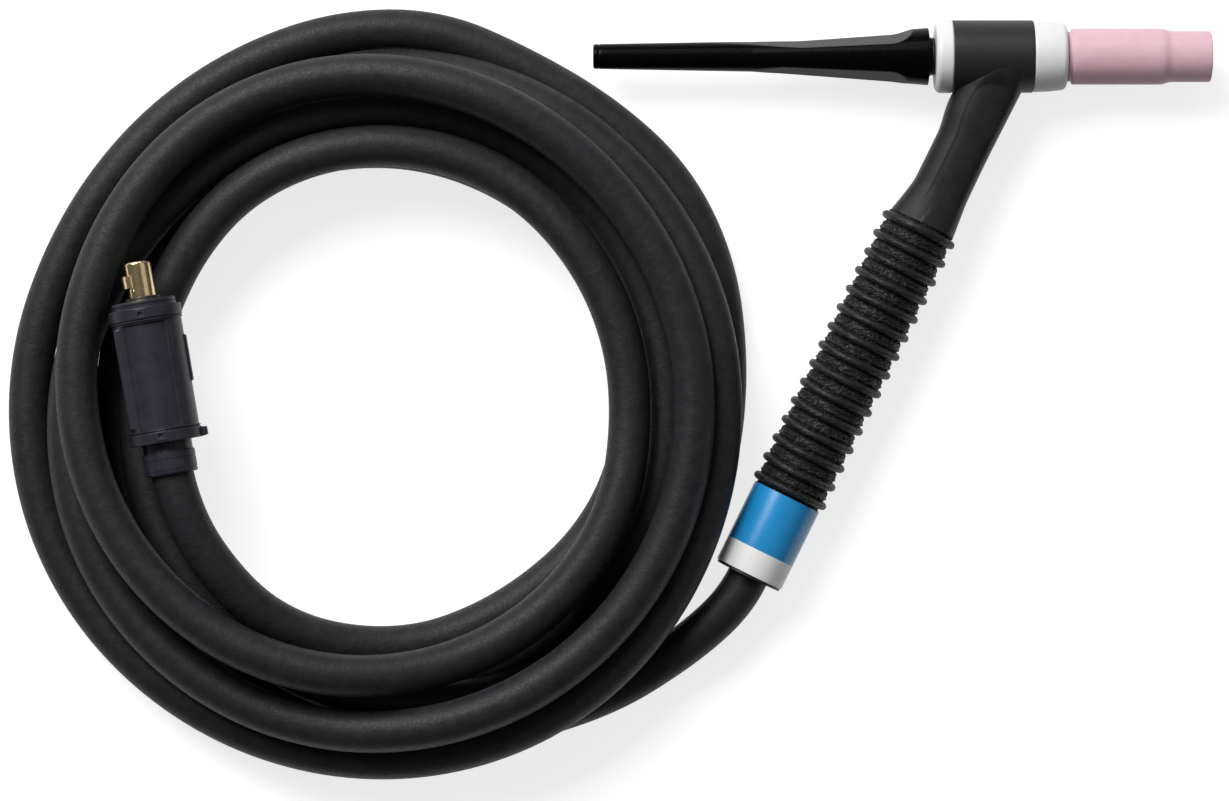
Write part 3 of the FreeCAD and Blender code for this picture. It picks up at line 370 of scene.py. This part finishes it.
def hose_points():
    points = list(LEAD)
    first, last = LOOPS[0][0], LOOPS[-1][0]
    for turn in spread_over(first, last, round((last - first) * STEPS)):
        reach = between(LOOPS, 1, turn) * PIXEL / CURVE_REACH
        points.append((LOOPS_X + reach * math.cos(ROUND * turn),
                       LOOPS_Y - reach * math.sin(ROUND * turn),
                       between(LOOPS, 2, turn) * HOSE))
    return points + TAIL


def hose_curve(name, points, radius):
    curve = bpy.data.curves.new(name, "CURVE")
    curve.dimensions = "3D"
    spline = curve.splines.new("NURBS")
    spline.points.add(len(points) - 1)
    for target, (x, y, z) in zip(spline.points, points):
        target.co = (x * MM, y * MM, z * MM, 1)
    spline.order_u = 3
    spline.use_endpoint_u = True
    spline.resolution_u = HOSE_STEPS_ALONG
    curve.bevel_depth = radius * MM
    curve.bevel_resolution = HOSE_STEPS_ROUND
    curve.use_fill_caps = True
    made = bpy.data.objects.new(name, curve)
    bpy.context.scene.collection.objects.link(made)
    return made


hose = hose_curve("hose", hose_points(), HOSE / 2)
hose.data.materials.append(rubber)
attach(hose, "root")
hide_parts("hose_lead", "hose_coil", "plug_hose_end", "hose_inner_end")

# Neck: a rounded body with a facet on its left and a flat panel on its front
# Along the handle's axis, and the body's reach to the left, to the right and up
NECK = [(1.0, 9.4, 10.6, 11.2), (5.0, 9.6, 10.6, 11.2), (12.0, 9.9, 10.5, 11.0),
        (20.5, 10.0, 10.4, 10.2), (33.0, 8.55, 10.25, 9.9), (48.5, 8.6, 10.4, 10.0),
        (56.0, 9.8, 11.0, 10.6), (62.4, 11.3, 11.6, 11.6)]
NECK_ROWS, NECK_AROUND = 150, 192
# How square the body's cross-section is on its left and right
NECK_SQUARE, NECK_SIDE = 0.86, 0.66
# The panel's height along the neck. Its head is an arch about ARCH
PANEL = [(1.0, 9.9), (20.5, 9.5), (33.0, 9.2), (48.5, 9.35), (57.0, 10.3), (62.4, 11.5)]
ARCH = 17.0
PANEL_MARGIN, PANEL_BANK, PANEL_SOFT = 0.4, 0.6, 2.2
# The facet's width and height at the left edge, its slope, its rise towards the head from
# FACET_HEAD, and how it blends
FACET_WIDE, FACET_LOW, FACET_SLOPE = 6.2, 6.0, 0.56
FACET_HEAD, FACET_RISE = 14.0, 0.16
FACET_BLEND, FACET_SOFT = 4.0, 2.6


def neck_body(s):
    """The middle, half width and height of the neck's rounded body."""
    left, right, height = (between(NECK, c, s) for c in (1, 2, 3))
    return (right - left) / 2, (left + right) / 2, height


def neck_height(s, y, height):
    """The body's height at (s, y), lowered to the left facet and to the panel on the front."""
    left, right = between(NECK, 1, s), between(NECK, 2, s)
    edge = -left + FACET_WIDE
    if y < edge + FACET_BLEND:
        facet = (FACET_LOW + (y + left) * FACET_SLOPE
                 + max(0.0, FACET_HEAD - s) * FACET_RISE)
        height = soft_min(height, max(facet, 0.0), FACET_SOFT)
    wide = (right - PANEL_MARGIN - edge) / 2
    centre = edge + wide
    out = abs(y - centre) - wide if s >= ARCH else math.hypot(s - ARCH, y - centre) - wide
    if y > centre and s >= ARCH:
        out = min(out, 0.0)
    bank = between(PANEL, 1, s) + max(0.0, out) * PANEL_BANK
    return soft_min(height, bank, PANEL_SOFT)


def neck_point(s, angle):
    """The neck's surface at s along it, at an angle round it."""
    middle, half, height = neck_body(s)
    across, up = -math.cos(angle), math.sin(angle)
    square = NECK_SIDE if across > 0 else NECK_SQUARE
    y = middle + half * math.copysign(abs(across) ** square, across)
    return y, math.copysign(neck_height(s, y, height * abs(up) ** square), up)


def neck_front(s, y):
    """The height of the neck's front at (s, y)."""
    middle, half, height = neck_body(s)
    square = NECK_SIDE if y > middle else NECK_SQUARE
    across = min(1.0, abs(y - middle) / half) ** (1 / square)
    return neck_height(s, y, height * math.sqrt(1 - across ** 2) ** square)


def neck():
    points = []
    for s in spread_over(NECK[0][0], NECK[-1][0], NECK_ROWS):
        for j in range(NECK_AROUND):
            y, z = neck_point(s, ROUND * (j + 0.5) / NECK_AROUND)
            points.append(place(HANDLE, s, y, z))
    faces = ring_faces(NECK_ROWS + 1, NECK_AROUND, closed=False)
    faces.append(tuple(range(NECK_AROUND - 1, -1, -1)))
    faces.append(tuple(NECK_ROWS * NECK_AROUND + j for j in range(NECK_AROUND)))
    # The neck takes the darker copy of the moulding, with its shade painted in.
    piece("neck", points, faces, neck_painted_shade, stands_for=["torch_body_cover"],
          slot="black_moulding")


neck()

# Patches of fine zig-zag ridges on the panel: where each starts, its middle, width and rows
PATCHES = ((17.4, 4.6, 6.6, 9), (24.8, 6.2, 3.6, 3), (33.2, 1.6, 2.8, 4), (36.4, 4.4, 2.4, 2),
           (44.4, 0.8, 6.2, 6), (49.8, 2.4, 3.6, 4), (53.6, 0.0, 2.6, 2))
ZIG_LONG, ZIG_TALL, ZIG_LEAN = 1.3, 0.20, 0.10
ROW_PITCH, ROW_WANDER, ROW_TURN = 0.84, 0.3, 2.3
RIDGE_HALF, RIDGE_TOP, RIDGE_FOOT = 0.16, 0.08, -0.05


def stipple():
    points, faces = [], []
    for start, middle, wide, rows in PATCHES:
        for row in range(rows):
            zigs = 2 * round(wide / ZIG_LONG) + 2 * (row % 2)
            shift = ROW_WANDER * math.sin(row * ROW_TURN)
            for k in range(zigs):
                for end in (k, k + 1):
                    y = middle + wide * (end / zigs - 0.5) + shift
                    x = start + row * ROW_PITCH + ZIG_TALL * (-1) ** end + ZIG_LEAN * y
                    height = neck_front(x, y)
                    points.append(place(HANDLE, x - RIDGE_HALF, y, height + RIDGE_FOOT))
                    points.append(place(HANDLE, x, y, height + RIDGE_TOP))
                    points.append(place(HANDLE, x + RIDGE_HALF, y, height + RIDGE_FOOT))
                n = len(points) - 6
                faces += [(n, n + 1, n + 4, n + 3), (n + 1, n + 2, n + 5, n + 4),
                          (n + 2, n, n + 3, n + 5)]
    # The ridges take the lighter colour of painted highlight, not a colour of their own.
    piece("neck_stipple_painted_highlight", points, faces, stipple_painted_highlight, stands_for=["torch_body_cover"],
          slot="black_moulding")


stipple()

# Head: the sleeve round it, in one moulding with the neck
SLEEVE_BACK, SLEEVE_FRONT, SLEEVE, SLEEVE_BORE = -17.2, 9.65, 12.1, 9.3
turned("head_sleeve", HEAD, finer(filleted([
    (SLEEVE_BACK, SLEEVE_BORE, 0), (SLEEVE_BACK, SLEEVE, 0.35), (SLEEVE_FRONT, SLEEVE, 0.35),
    (SLEEVE_FRONT, SLEEVE_BORE, 0)]), 1.5),
    moulding, stands_for=["torch_body_cover"], slot="black_moulding")

# Back cap: a hollow taper with three flats that run out in a flare, and its threaded spigot
CAP_FACE, CAP_TIP, CAP_TAPER = -25.2, -137.1, -84.0
CAP_ROD, CAP_SLIM, CAP_SKIRT, CAP_BORE = 4.15, 5.05, 9.6, 1.9
CAP_ROWS = 330
# Each flat: the way it faces, its distance from the axis at FLAT_AT, where its rise starts, and
# how fast it rises
CAP_FLATS = ((math.radians(161), 5.75, -68.0, 0.0585), (math.radians(17), 7.03, -74.0, 0.063),
             (math.radians(270), 6.6, -72.0, 0.060))
FLAT_AT, FLAT_BEHIND, FLAT_SOFT = -41.2, 0.026, 0.30
FLARE_START, FLARE = -38.2, 12.0
# The groove near the tip: its place, half width and depth
GROOVE_AT, GROOVE_WIDE, GROOVE_DEEP = CAP_TIP + 1.9, 0.28, 0.16
# The tip's rounding: the radius where it starts, its length and its height
TIP_FLAT, TIP_LONG, TIP_TALL = 3.3, 0.8, 0.85
# The spigot's thread: where it starts and ends, its root, its crest's height and its half pitch
THREAD_BACK, THREAD_FRONT, THREAD, CREST, HALF_PITCH = -24.2, -8.8, 4.3, 0.28, 0.5


def cap_taper(x):
    if x < CAP_TAPER:
        return CAP_ROD + (CAP_SLIM - CAP_ROD) * (x - CAP_TIP) / (CAP_TAPER - CAP_TIP)
    return CAP_SLIM + (CAP_SKIRT - CAP_SLIM) * (x - CAP_TAPER) / (CAP_FACE - CAP_TAPER)


def cap_flat(x, reach, start, rise):
    """How far a flat lies from the axis."""
    reach += rise * (max(x, start) - FLAT_AT) + FLAT_BEHIND * max(0.0, start - x)
    over = x - FLARE_START
    if over > 0:
        reach += FLARE - math.sqrt(max(FLARE ** 2 - over ** 2, 0)) if over < FLARE else FLARE
    return reach


def cap_relief(x, r, a):
    if r < 4.0 or x > CAP_FACE - 0.05:
        return 0.0
    reach = r
    for facing, *flat in CAP_FLATS:
        toward = math.cos(a - facing)
        if toward > 0.3:
            reach = soft_min(reach, cap_flat(x, *flat) / toward, FLAT_SOFT)
    return reach - r - hump(x, GROOVE_AT, GROOVE_WIDE) * GROOVE_DEEP


def cap_outline():
    out = [(CAP_TIP, 0.0), (CAP_TIP, 0.8), (CAP_TIP, 2.0)]
    out += [(CAP_TIP + TIP_LONG * (1 - math.cos(t)), TIP_FLAT + TIP_TALL * math.sin(t))
            for t in spread_over(0.0, math.pi / 2, 8)]
    out += [(x, cap_taper(x)) for x in spread_over(CAP_TIP + 0.9, CAP_FACE - 0.4, CAP_ROWS)]
    out += [(CAP_FACE - 0.12, CAP_SKIRT - 0.06), (CAP_FACE, CAP_SKIRT - 0.35), (CAP_FACE, 8.0),
            (CAP_FACE, 6.5), (CAP_FACE + 0.8, 6.5), (CAP_FACE + 0.8, 4.6)]
    out += [(THREAD_BACK + HALF_PITCH * i, THREAD + CREST * (i % 2)) for i in range(31)]
    return out + [(THREAD_FRONT, THREAD), (THREAD_FRONT, CAP_BORE), (CAP_TIP + 3.5, CAP_BORE),
                  (CAP_TIP + 3.5, 0.0)]


turned("cap_taper", HEAD, cap_outline(), cap_gloss, around=240, relief=cap_relief, closed=False,
       body="cap", stands_for=["back_cap"], slot="black_cap")

# White insulators behind and in front of the head
turned("insulator_ring_rear", HEAD, finer(filleted([
    (SLEEVE_BACK, 5.0, 0), (SLEEVE_BACK, 11.75, 0), (-17.6, 12.2, 0.35), (-21.85, 12.2, 0.9),
    (-23.05, 10.9, 0.9), (-23.05, 5.0, 0)]), 1.0),
    insulator, around=160, stands_for=["rear_insulator"], slot="white_insulator")


def front_ring_outline():
    """A ring that narrows forwards and ends in a quarter round."""
    bore, wide, narrowing = 6.3, 11.85, 0.62
    start, shoulder, front, face = 10.0, 18.9, 20.9, 9.4
    out = [(SLEEVE_FRONT, bore), (SLEEVE_FRONT, 11.4), (9.75, 11.7)]
    out += [(start + (shoulder - start) * t, wide - narrowing * t ** 2)
            for t in spread_over(0.0, 1.0, 12)]
    out += [(shoulder + (front - shoulder) * math.sin(t),
             face + (wide - narrowing - face) * math.cos(t))
            for t in spread_over(0.0, math.pi / 2, 8)[1:]]
    return out + [(front, bore)]


turned("insulator_ring_front", HEAD, front_ring_outline(), insulator, around=160,
       body="nozzle_ring", stands_for=["front_insulator"], slot="white_insulator")

# Nozzle: a stepped alumina tube, with a neck in its socket and a chamber in front of it
NOZZLE_BACK, NOZZLE_MOUTH, NOZZLE, NOSE = 21.2, 69.0, 9.35, 8.5
NOSE_BORE, SOCKET, CHAMBER = 5.55, 6.08, 6.9
turned("nozzle_alumina", HEAD, finer(filleted([
    (NOZZLE_BACK, SOCKET, 0), (NOZZLE_BACK, 8.35, 0.15), (22.65, 8.35, 0.1),
    (22.65, NOZZLE, 0.55), (53.0, NOZZLE, 1.6), (55.2, NOSE, 1.6), (NOZZLE_MOUTH, NOSE, 0.55),
    (NOZZLE_MOUTH, NOSE_BORE, 0.5), (47.0, NOSE_BORE, 0.5), (45.65, CHAMBER, 0.4),
    (29.7, CHAMBER, 0), (29.7, SOCKET, 0)], 6), 2.0),
    alumina, around=160, body="nozzle", stands_for=["gas_nozzle"], slot="pink_alumina")

# Handle grip: fifteen round ribs on a wrinkled rubber sleeve, and the label's seat behind them
GRIP_START, GRIP_END, GRIP, GRIP_BORE, GRIP_ROWS = 62.5, 163.8, 11.85, 9.0, 430
HANDLE_END, LABEL_SEAT = 192.5, 11.6
RIB_FIRST, RIB_PITCH, RIBS, RIB_TALL, RIB_HALF, RIB_LEAN = 64.45, 6.93, 15, 1.48, 1.35, 1.0


def wrinkles(x, a):
    """The skin's height at x along the grip and a round it, and how its folds wander there."""
    slant = 0.28 * GRIP * swing(a, math.pi / 2)
    where = Vector((4.0 * math.cos(a), 4.0 * math.sin(a), (x + slant) * 1.15))
    wander = Vector((noise.noise(where * 0.5 + Vector((7.1, 0, 0))),
                     noise.noise(where * 0.5 + Vector((0, 5.3, 0))), 0))
    folds = abs(noise.noise(where + wander * 1.4))
    crinkle = abs(noise.noise(where * 1.9 + Vector((3.0, 9.0, 4.0))))
    grain = noise.noise(where * 6.0)
    skin = -0.44 * max(0.0, 1 - folds / 0.18) - 0.20 * max(0.0, 1 - crinkle / 0.2) + 0.06 * grain
    return skin, wander.x


def grip_relief(x, r, a):
    """Leaning ribs and wrinkles, with a crease and a low ridge beside each rib."""
    if r < GRIP - 0.1 or x < GRIP_START + 0.05 or x > GRIP_END - 0.05:
        return 0.0
    lean = RIB_LEAN * math.sin(a) * min(1.0, (x - GRIP_START) / 6.0, (GRIP_END - x) / 6.0)
    rib = min(RIBS - 1, max(0, round((x - lean - RIB_FIRST) / RIB_PITCH)))
    d = x - lean - (RIB_FIRST + rib * RIB_PITCH)
    skin, wander = wrinkles(x, a)
    if abs(d) < RIB_HALF:
        rise = RIB_TALL * math.sqrt(1 - (d / RIB_HALF) ** 2)
        return rise + skin * (0.45 + 0.55 * (abs(d) / RIB_HALF) ** 2) * 0.8
    crease = 0.75 * hump(d, RIB_HALF + 0.35, 0.50) + 0.30 * hump(d, -RIB_HALF - 0.2, 0.3)
    ridge = 0.42 * hump(d, -RIB_HALF - 1.15 - 0.35 * wander, 0.34)
    return skin - crease + ridge


grip_outline = [(GRIP_START, GRIP_BORE), (GRIP_START, GRIP - 0.3)]
grip_outline += [(x, GRIP) for x in spread_over(GRIP_START + 0.06, GRIP_END - 0.06, GRIP_ROWS)]
grip_outline += [(GRIP_END, GRIP - 0.3), (GRIP_END, LABEL_SEAT), (HANDLE_END, LABEL_SEAT),
                 (HANDLE_END, GRIP_BORE)]
turned("handle_barrel", HANDLE, grip_outline, grip, around=300, relief=grip_relief,
       stands_for=["handle_grip"], slot="black_handle")

# Label: a printed sleeve, blue with a white band
LABEL, LABEL_INSIDE, BLUE_END = 11.9, 11.62, GRIP_END + 20.1
label = turned("label", HANDLE, filleted([
    (GRIP_END, LABEL_INSIDE, 0), (GRIP_END, LABEL, 0.1), (BLUE_END, LABEL, 0),
    (HANDLE_END, LABEL, 0.1), (HANDLE_END, LABEL_INSIDE, 0)]),
    [blue, white], around=128, closed=False, stands_for=["handle_label"], slot="label")
for face in label.data.polygons:
    corners = [label.data.vertices[v].co / MM for v in face.vertices]
    along = sum((corner - HANDLE[0]).dot(HANDLE[1]) for corner in corners) / len(corners)
    face.material_index = 0 if along < BLUE_END else 1

# Plug: a pin with its bayonet lug, a housing with recessed panels, a band at each end, a sleeve
PIN, LUG_ANGLE = 4.5, math.radians(38)


def pin_relief(x, r, a):
    """The bayonet lug, and a fine slot beside it."""
    if r < 4.0 or x > -0.3 or x < -12.2:
        return 0.0
    arc = swing(a, LUG_ANGLE) * PIN
    lug = 1.7 * window(arc, -1.6, 1.6, 0.25) * window(x, -8.8, -4.2, 0.3)
    slot = 0.35 * window(arc, 1.75, 2.15, 0.15) * window(x, -8.8, -3.4, 0.3)
    return lug - slot


pin_outline = [(2.0, 0.0), (2.0, 1.3), (-13.0, 1.3), (-13.0, 3.4), (-12.94, 3.75), (-12.7, 4.2),
               (-12.35, 4.45)]
pin_outline += even(-12.0, -0.2, PIN, 0.197)
pin_outline += [(0.0, PIN), (0.0, 6.4), (4.2, 6.4), (4.2, 5.5), (34.0, 5.5), (34.0, 3.1),
                (17.0, 3.1), (17.0, 0.0)]
turned("pin_contact", PLUG, pin_outline, gold, around=200, relief=pin_relief, closed=False,
       stands_for=["plug_pin"], slot="pin_brass")

HOUSING, HOUSING_BORE, PLUG_BORE = 11.4, 9.5, 7.03
# The recessed panels, and the angle of the raised rail along the upper one
PANEL_START, PANEL_END, RAIL_ANGLE = 7.6, 42.0, 0.62


def housing_relief(x, r, a):
    """A panel above and below, with a line beside it, a rail, a seam and a key with a notch."""
    if r < 10.0 or x < 2.6:
        return 0.0
    y, up = -r * math.cos(a), r * math.sin(a)
    rail = 1.3 * window(swing(a, RAIL_ANGLE), -0.15, 0.15, 0.13) * window(x, PANEL_START, 42.2, 1.2)
    left, right = (-7.7, 7.0) if up > 0 else (-7.0, 7.0)
    floor = 0.8 * window(y, left, right, 0.22) * window(x, PANEL_START, PANEL_END, 0.22)
    line = -0.28 * hump(y, right + 1.0, 0.2) * window(x, 8.5, 41.0, 1.0)
    side = swing(a, math.pi) * r
    seam = 0.22 * hump(side, 0.0, 0.2)
    key = 0.7 * window(side, -1.5, 1.5, 0.2) * window(x, 13.0, 28.5, 0.3)
    notch = 0.5 * window(side, -0.5, 0.5, 0.2) * window(x, 25.6, 26.8, 0.2)
    return rail - floor + line - (seam if key == 0 else 0.0) + key - notch


housing = [(0.0, 6.5), (0.0, 10.1), (0.12, 10.38), (0.4, 10.5), (1.1, 10.5), (1.25, 10.25),
           (1.45, 10.25), (1.6, 10.5), (2.35, 10.5), (2.4, 11.2), (2.5, HOUSING)]
housing += even(2.7, 46.6, HOUSING, 0.2)
housing += [(46.9, 11.3), (47.0, 11.0), (47.0, PLUG_BORE), (45.0, PLUG_BORE),
            (45.0, HOUSING_BORE), (4.3, HOUSING_BORE), (4.3, 6.5)]
turned("plug_body", PLUG, housing, plug_plastic, around=300, relief=housing_relief,
       stands_for=["plug_shell_upper", "plug_shell_lower"], slot="plug_grey")

BAND, BAND_INSIDE = 11.92, 11.43


def band_relief(start, stop, line_at, nub):
    """A tab with a hole and a line round the band, and on the rear one a nub with two pits."""
    middle = (start + stop) / 2

    def relief(x, r, a):
        if r < 11.7:
            return 0.0
        y = -r * math.cos(a) if math.sin(a) > 0 else 99.0
        tab = 0.22 * window(y, -2.6, 1.6, 0.25) * window(x, start + 0.5, stop - 0.5, 0.25)
        hole = 0.55 * (1 - step_up(math.hypot(x - middle, y + 0.5), 0.55, 0.3))
        line = 0.40 * hump(x, line_at, 0.20)
        if not nub:
            return tab - hole - line
        arc = swing(a, math.pi) * r
        block = 1.9 * window(arc, -1.6, 1.6, 0.25) * window(x, stop - 3.3, stop - 0.1, 0.25)
        pits = 0.6 * (1 - step_up(math.hypot(x - stop + 1.6, abs(arc) - 0.75), 0.3, 0.25))
        return tab - hole - (line if block == 0 else 0.0) + block - pits
    return relief


def plug_band(name, start, stop, line_at, nub, stands_for):
    outline = [(start, BAND_INSIDE), (start, 11.7), (start + 0.1, 11.86)]
    outline += even(start + 0.25, stop - 0.25, BAND, 0.12)
    outline += [(stop - 0.1, 11.86), (stop, 11.7), (stop, BAND_INSIDE)]
    turned(name, PLUG, outline, plug_plastic, around=360,
           relief=band_relief(start, stop, line_at, nub), stands_for=stands_for,
           slot="plug_grey")


plug_band("plug_band_front", 2.4, 7.0, 6.4, False, ["plug_front_ring"])
plug_band("plug_band_rear", 42.6, 47.0, 43.2, True, ["plug_rear_ring"])

HATCH_ANGLE, HATCH_HALF, HATCHES = math.radians(96), 0.42, 24


def sleeve_relief(x, r, a):
    """A patch of fine hatching behind the rear band."""
    if r < 8.0 or not 47.3 < x < 50.0 or abs(swing(a, HATCH_ANGLE)) >= HATCH_HALF:
        return 0.0
    return -0.22 * window(math.sin(a * HATCHES), 0.2, 0.9, 0.5)


sleeve = [(47.02, PLUG_BORE), (47.02, 8.1)] + even(47.2, 49.9, 8.1, 0.3)
sleeve += [(50.1, 8.15), (50.2, 8.35), (50.35, 8.55), (50.6, 8.6), (52.4, 8.6), (52.55, 8.45),
           (52.75, 8.45), (52.9, 8.6), (56.0, 8.6), (56.15, 8.42), (56.4, 8.42), (56.55, 8.6),
           (57.2, 8.58), (57.5, 8.4), (57.6, 8.1), (57.6, PLUG_BORE)]
turned("plug_collar", PLUG, sleeve, plug_plastic, around=240, relief=sleeve_relief,
       stands_for=["plug_sleeve"], slot="plug_grey")

# Finishes of the CAD nodes that show as they are
FINISHES = {
    "back_cap_o_ring": seal, "head_core": brass, "collet_body": copper, "collet": copper,
    "electrode": tungsten, "handle_grommet": seal, "neck_tube": copper, "neck_fitting": brass,
    "hose_nut": brass, "hose_barb": brass, "hose_ferrule": steel, "power_conductor": copper,
    "plug_pin_seal": seal, "plug_core_bush": seal, "plug_strand": copper,
    "plug_clamp_screws": steel, "plug_hose_ferrule": steel,
}
for name, finish in FINISHES.items():
    materials = NODES[name].data.materials
    materials.clear()
    materials.append(finish)

# Floor, light and background
FLOOR_HALF, FLOOR_GREY, FLOOR_GLOW = 6.0, 0.45, 0.78
WORLD_LIGHT, WORLD_SEEN = 0.10, 1.0
WHITE = (1, 1, 1, 1)
# Each lamp: where it is, where it points, its two sizes in metres and its watts
LAMPS = {
    "key": ((-1.1, 1.5, 1.7), (-0.1, 0, 0), (1.4, 1.4), 69),
    "top": ((0.1, 1.9, 1.35), (-0.05, 0, 0), (1.6, 0.4), 7),
    "fill": ((1.6, 0.4, 1.6), (-0.05, 0, 0), (1.2, 1.6), 2.5),
}


def math_of(made, operation, first, second):
    """A Math node on one output and another output or a number."""
    step = add(made, "ShaderNodeMath")
    step.operation = operation
    link(made, first, step.inputs[0])
    if isinstance(second, float):
        step.inputs[1].default_value = second
    else:
        link(made, second, step.inputs[1])
    return step.outputs[0]


def pale_floor():
    """A finish that takes shadows, and looks white to the camera, in metal and through glass."""
    pale = material("floor_pale", [FLOOR_GREY] * 3, 0.9, gloss=0.0)
    rays = add(pale, "ShaderNodeLightPath").outputs
    seen = math_of(pale, "MAXIMUM", rays["Is Camera Ray"], rays["Is Glossy Ray"])
    seen = math_of(pale, "MAXIMUM", seen, rays["Is Transmission Ray"])
    shader = shader_of(pale)
    shader.inputs["Emission Color"].default_value = WHITE
    link(pale, math_of(pale, "MULTIPLY", seen, FLOOR_GLOW), shader.inputs["Emission Strength"])
    return pale


def floor_below():
    mesh = bpy.data.meshes.new("floor")
    half = FLOOR_HALF
    mesh.from_pydata([(-half, -half, 0), (half, -half, 0), (half, half, 0), (-half, half, 0)], [],
                     [(0, 1, 2, 3)])
    mesh.materials.append(pale_floor())
    floor = bpy.data.objects.new("floor", mesh)
    bpy.context.scene.collection.objects.link(floor)


def surroundings():
    world = bpy.data.worlds.new("world")
    bpy.context.scene.world = world
    world.use_nodes = True
    background = world.node_tree.nodes["Background"]
    background.inputs["Color"].default_value = WHITE
    rays = add(world, "ShaderNodeLightPath").outputs
    level = ramp(world, rays["Is Camera Ray"], 0.0, 1.0, WORLD_LIGHT, WORLD_SEEN)
    link(world, level, background.inputs["Strength"])


def lamp(name, where, aim, size, power):
    data = bpy.data.lights.new(name, "AREA")
    data.shape = "RECTANGLE"
    data.size, data.size_y = size
    data.energy = power
    made = bpy.data.objects.new(name, data)
    made.location = where
    made.rotation_mode = "QUATERNION"
    made.rotation_quaternion = (Vector(aim) - Vector(where)).to_track_quat("-Z", "Y")
    bpy.context.scene.collection.objects.link(made)


floor_below()
surroundings()
for name, settings in LAMPS.items():
    lamp(name, *settings)
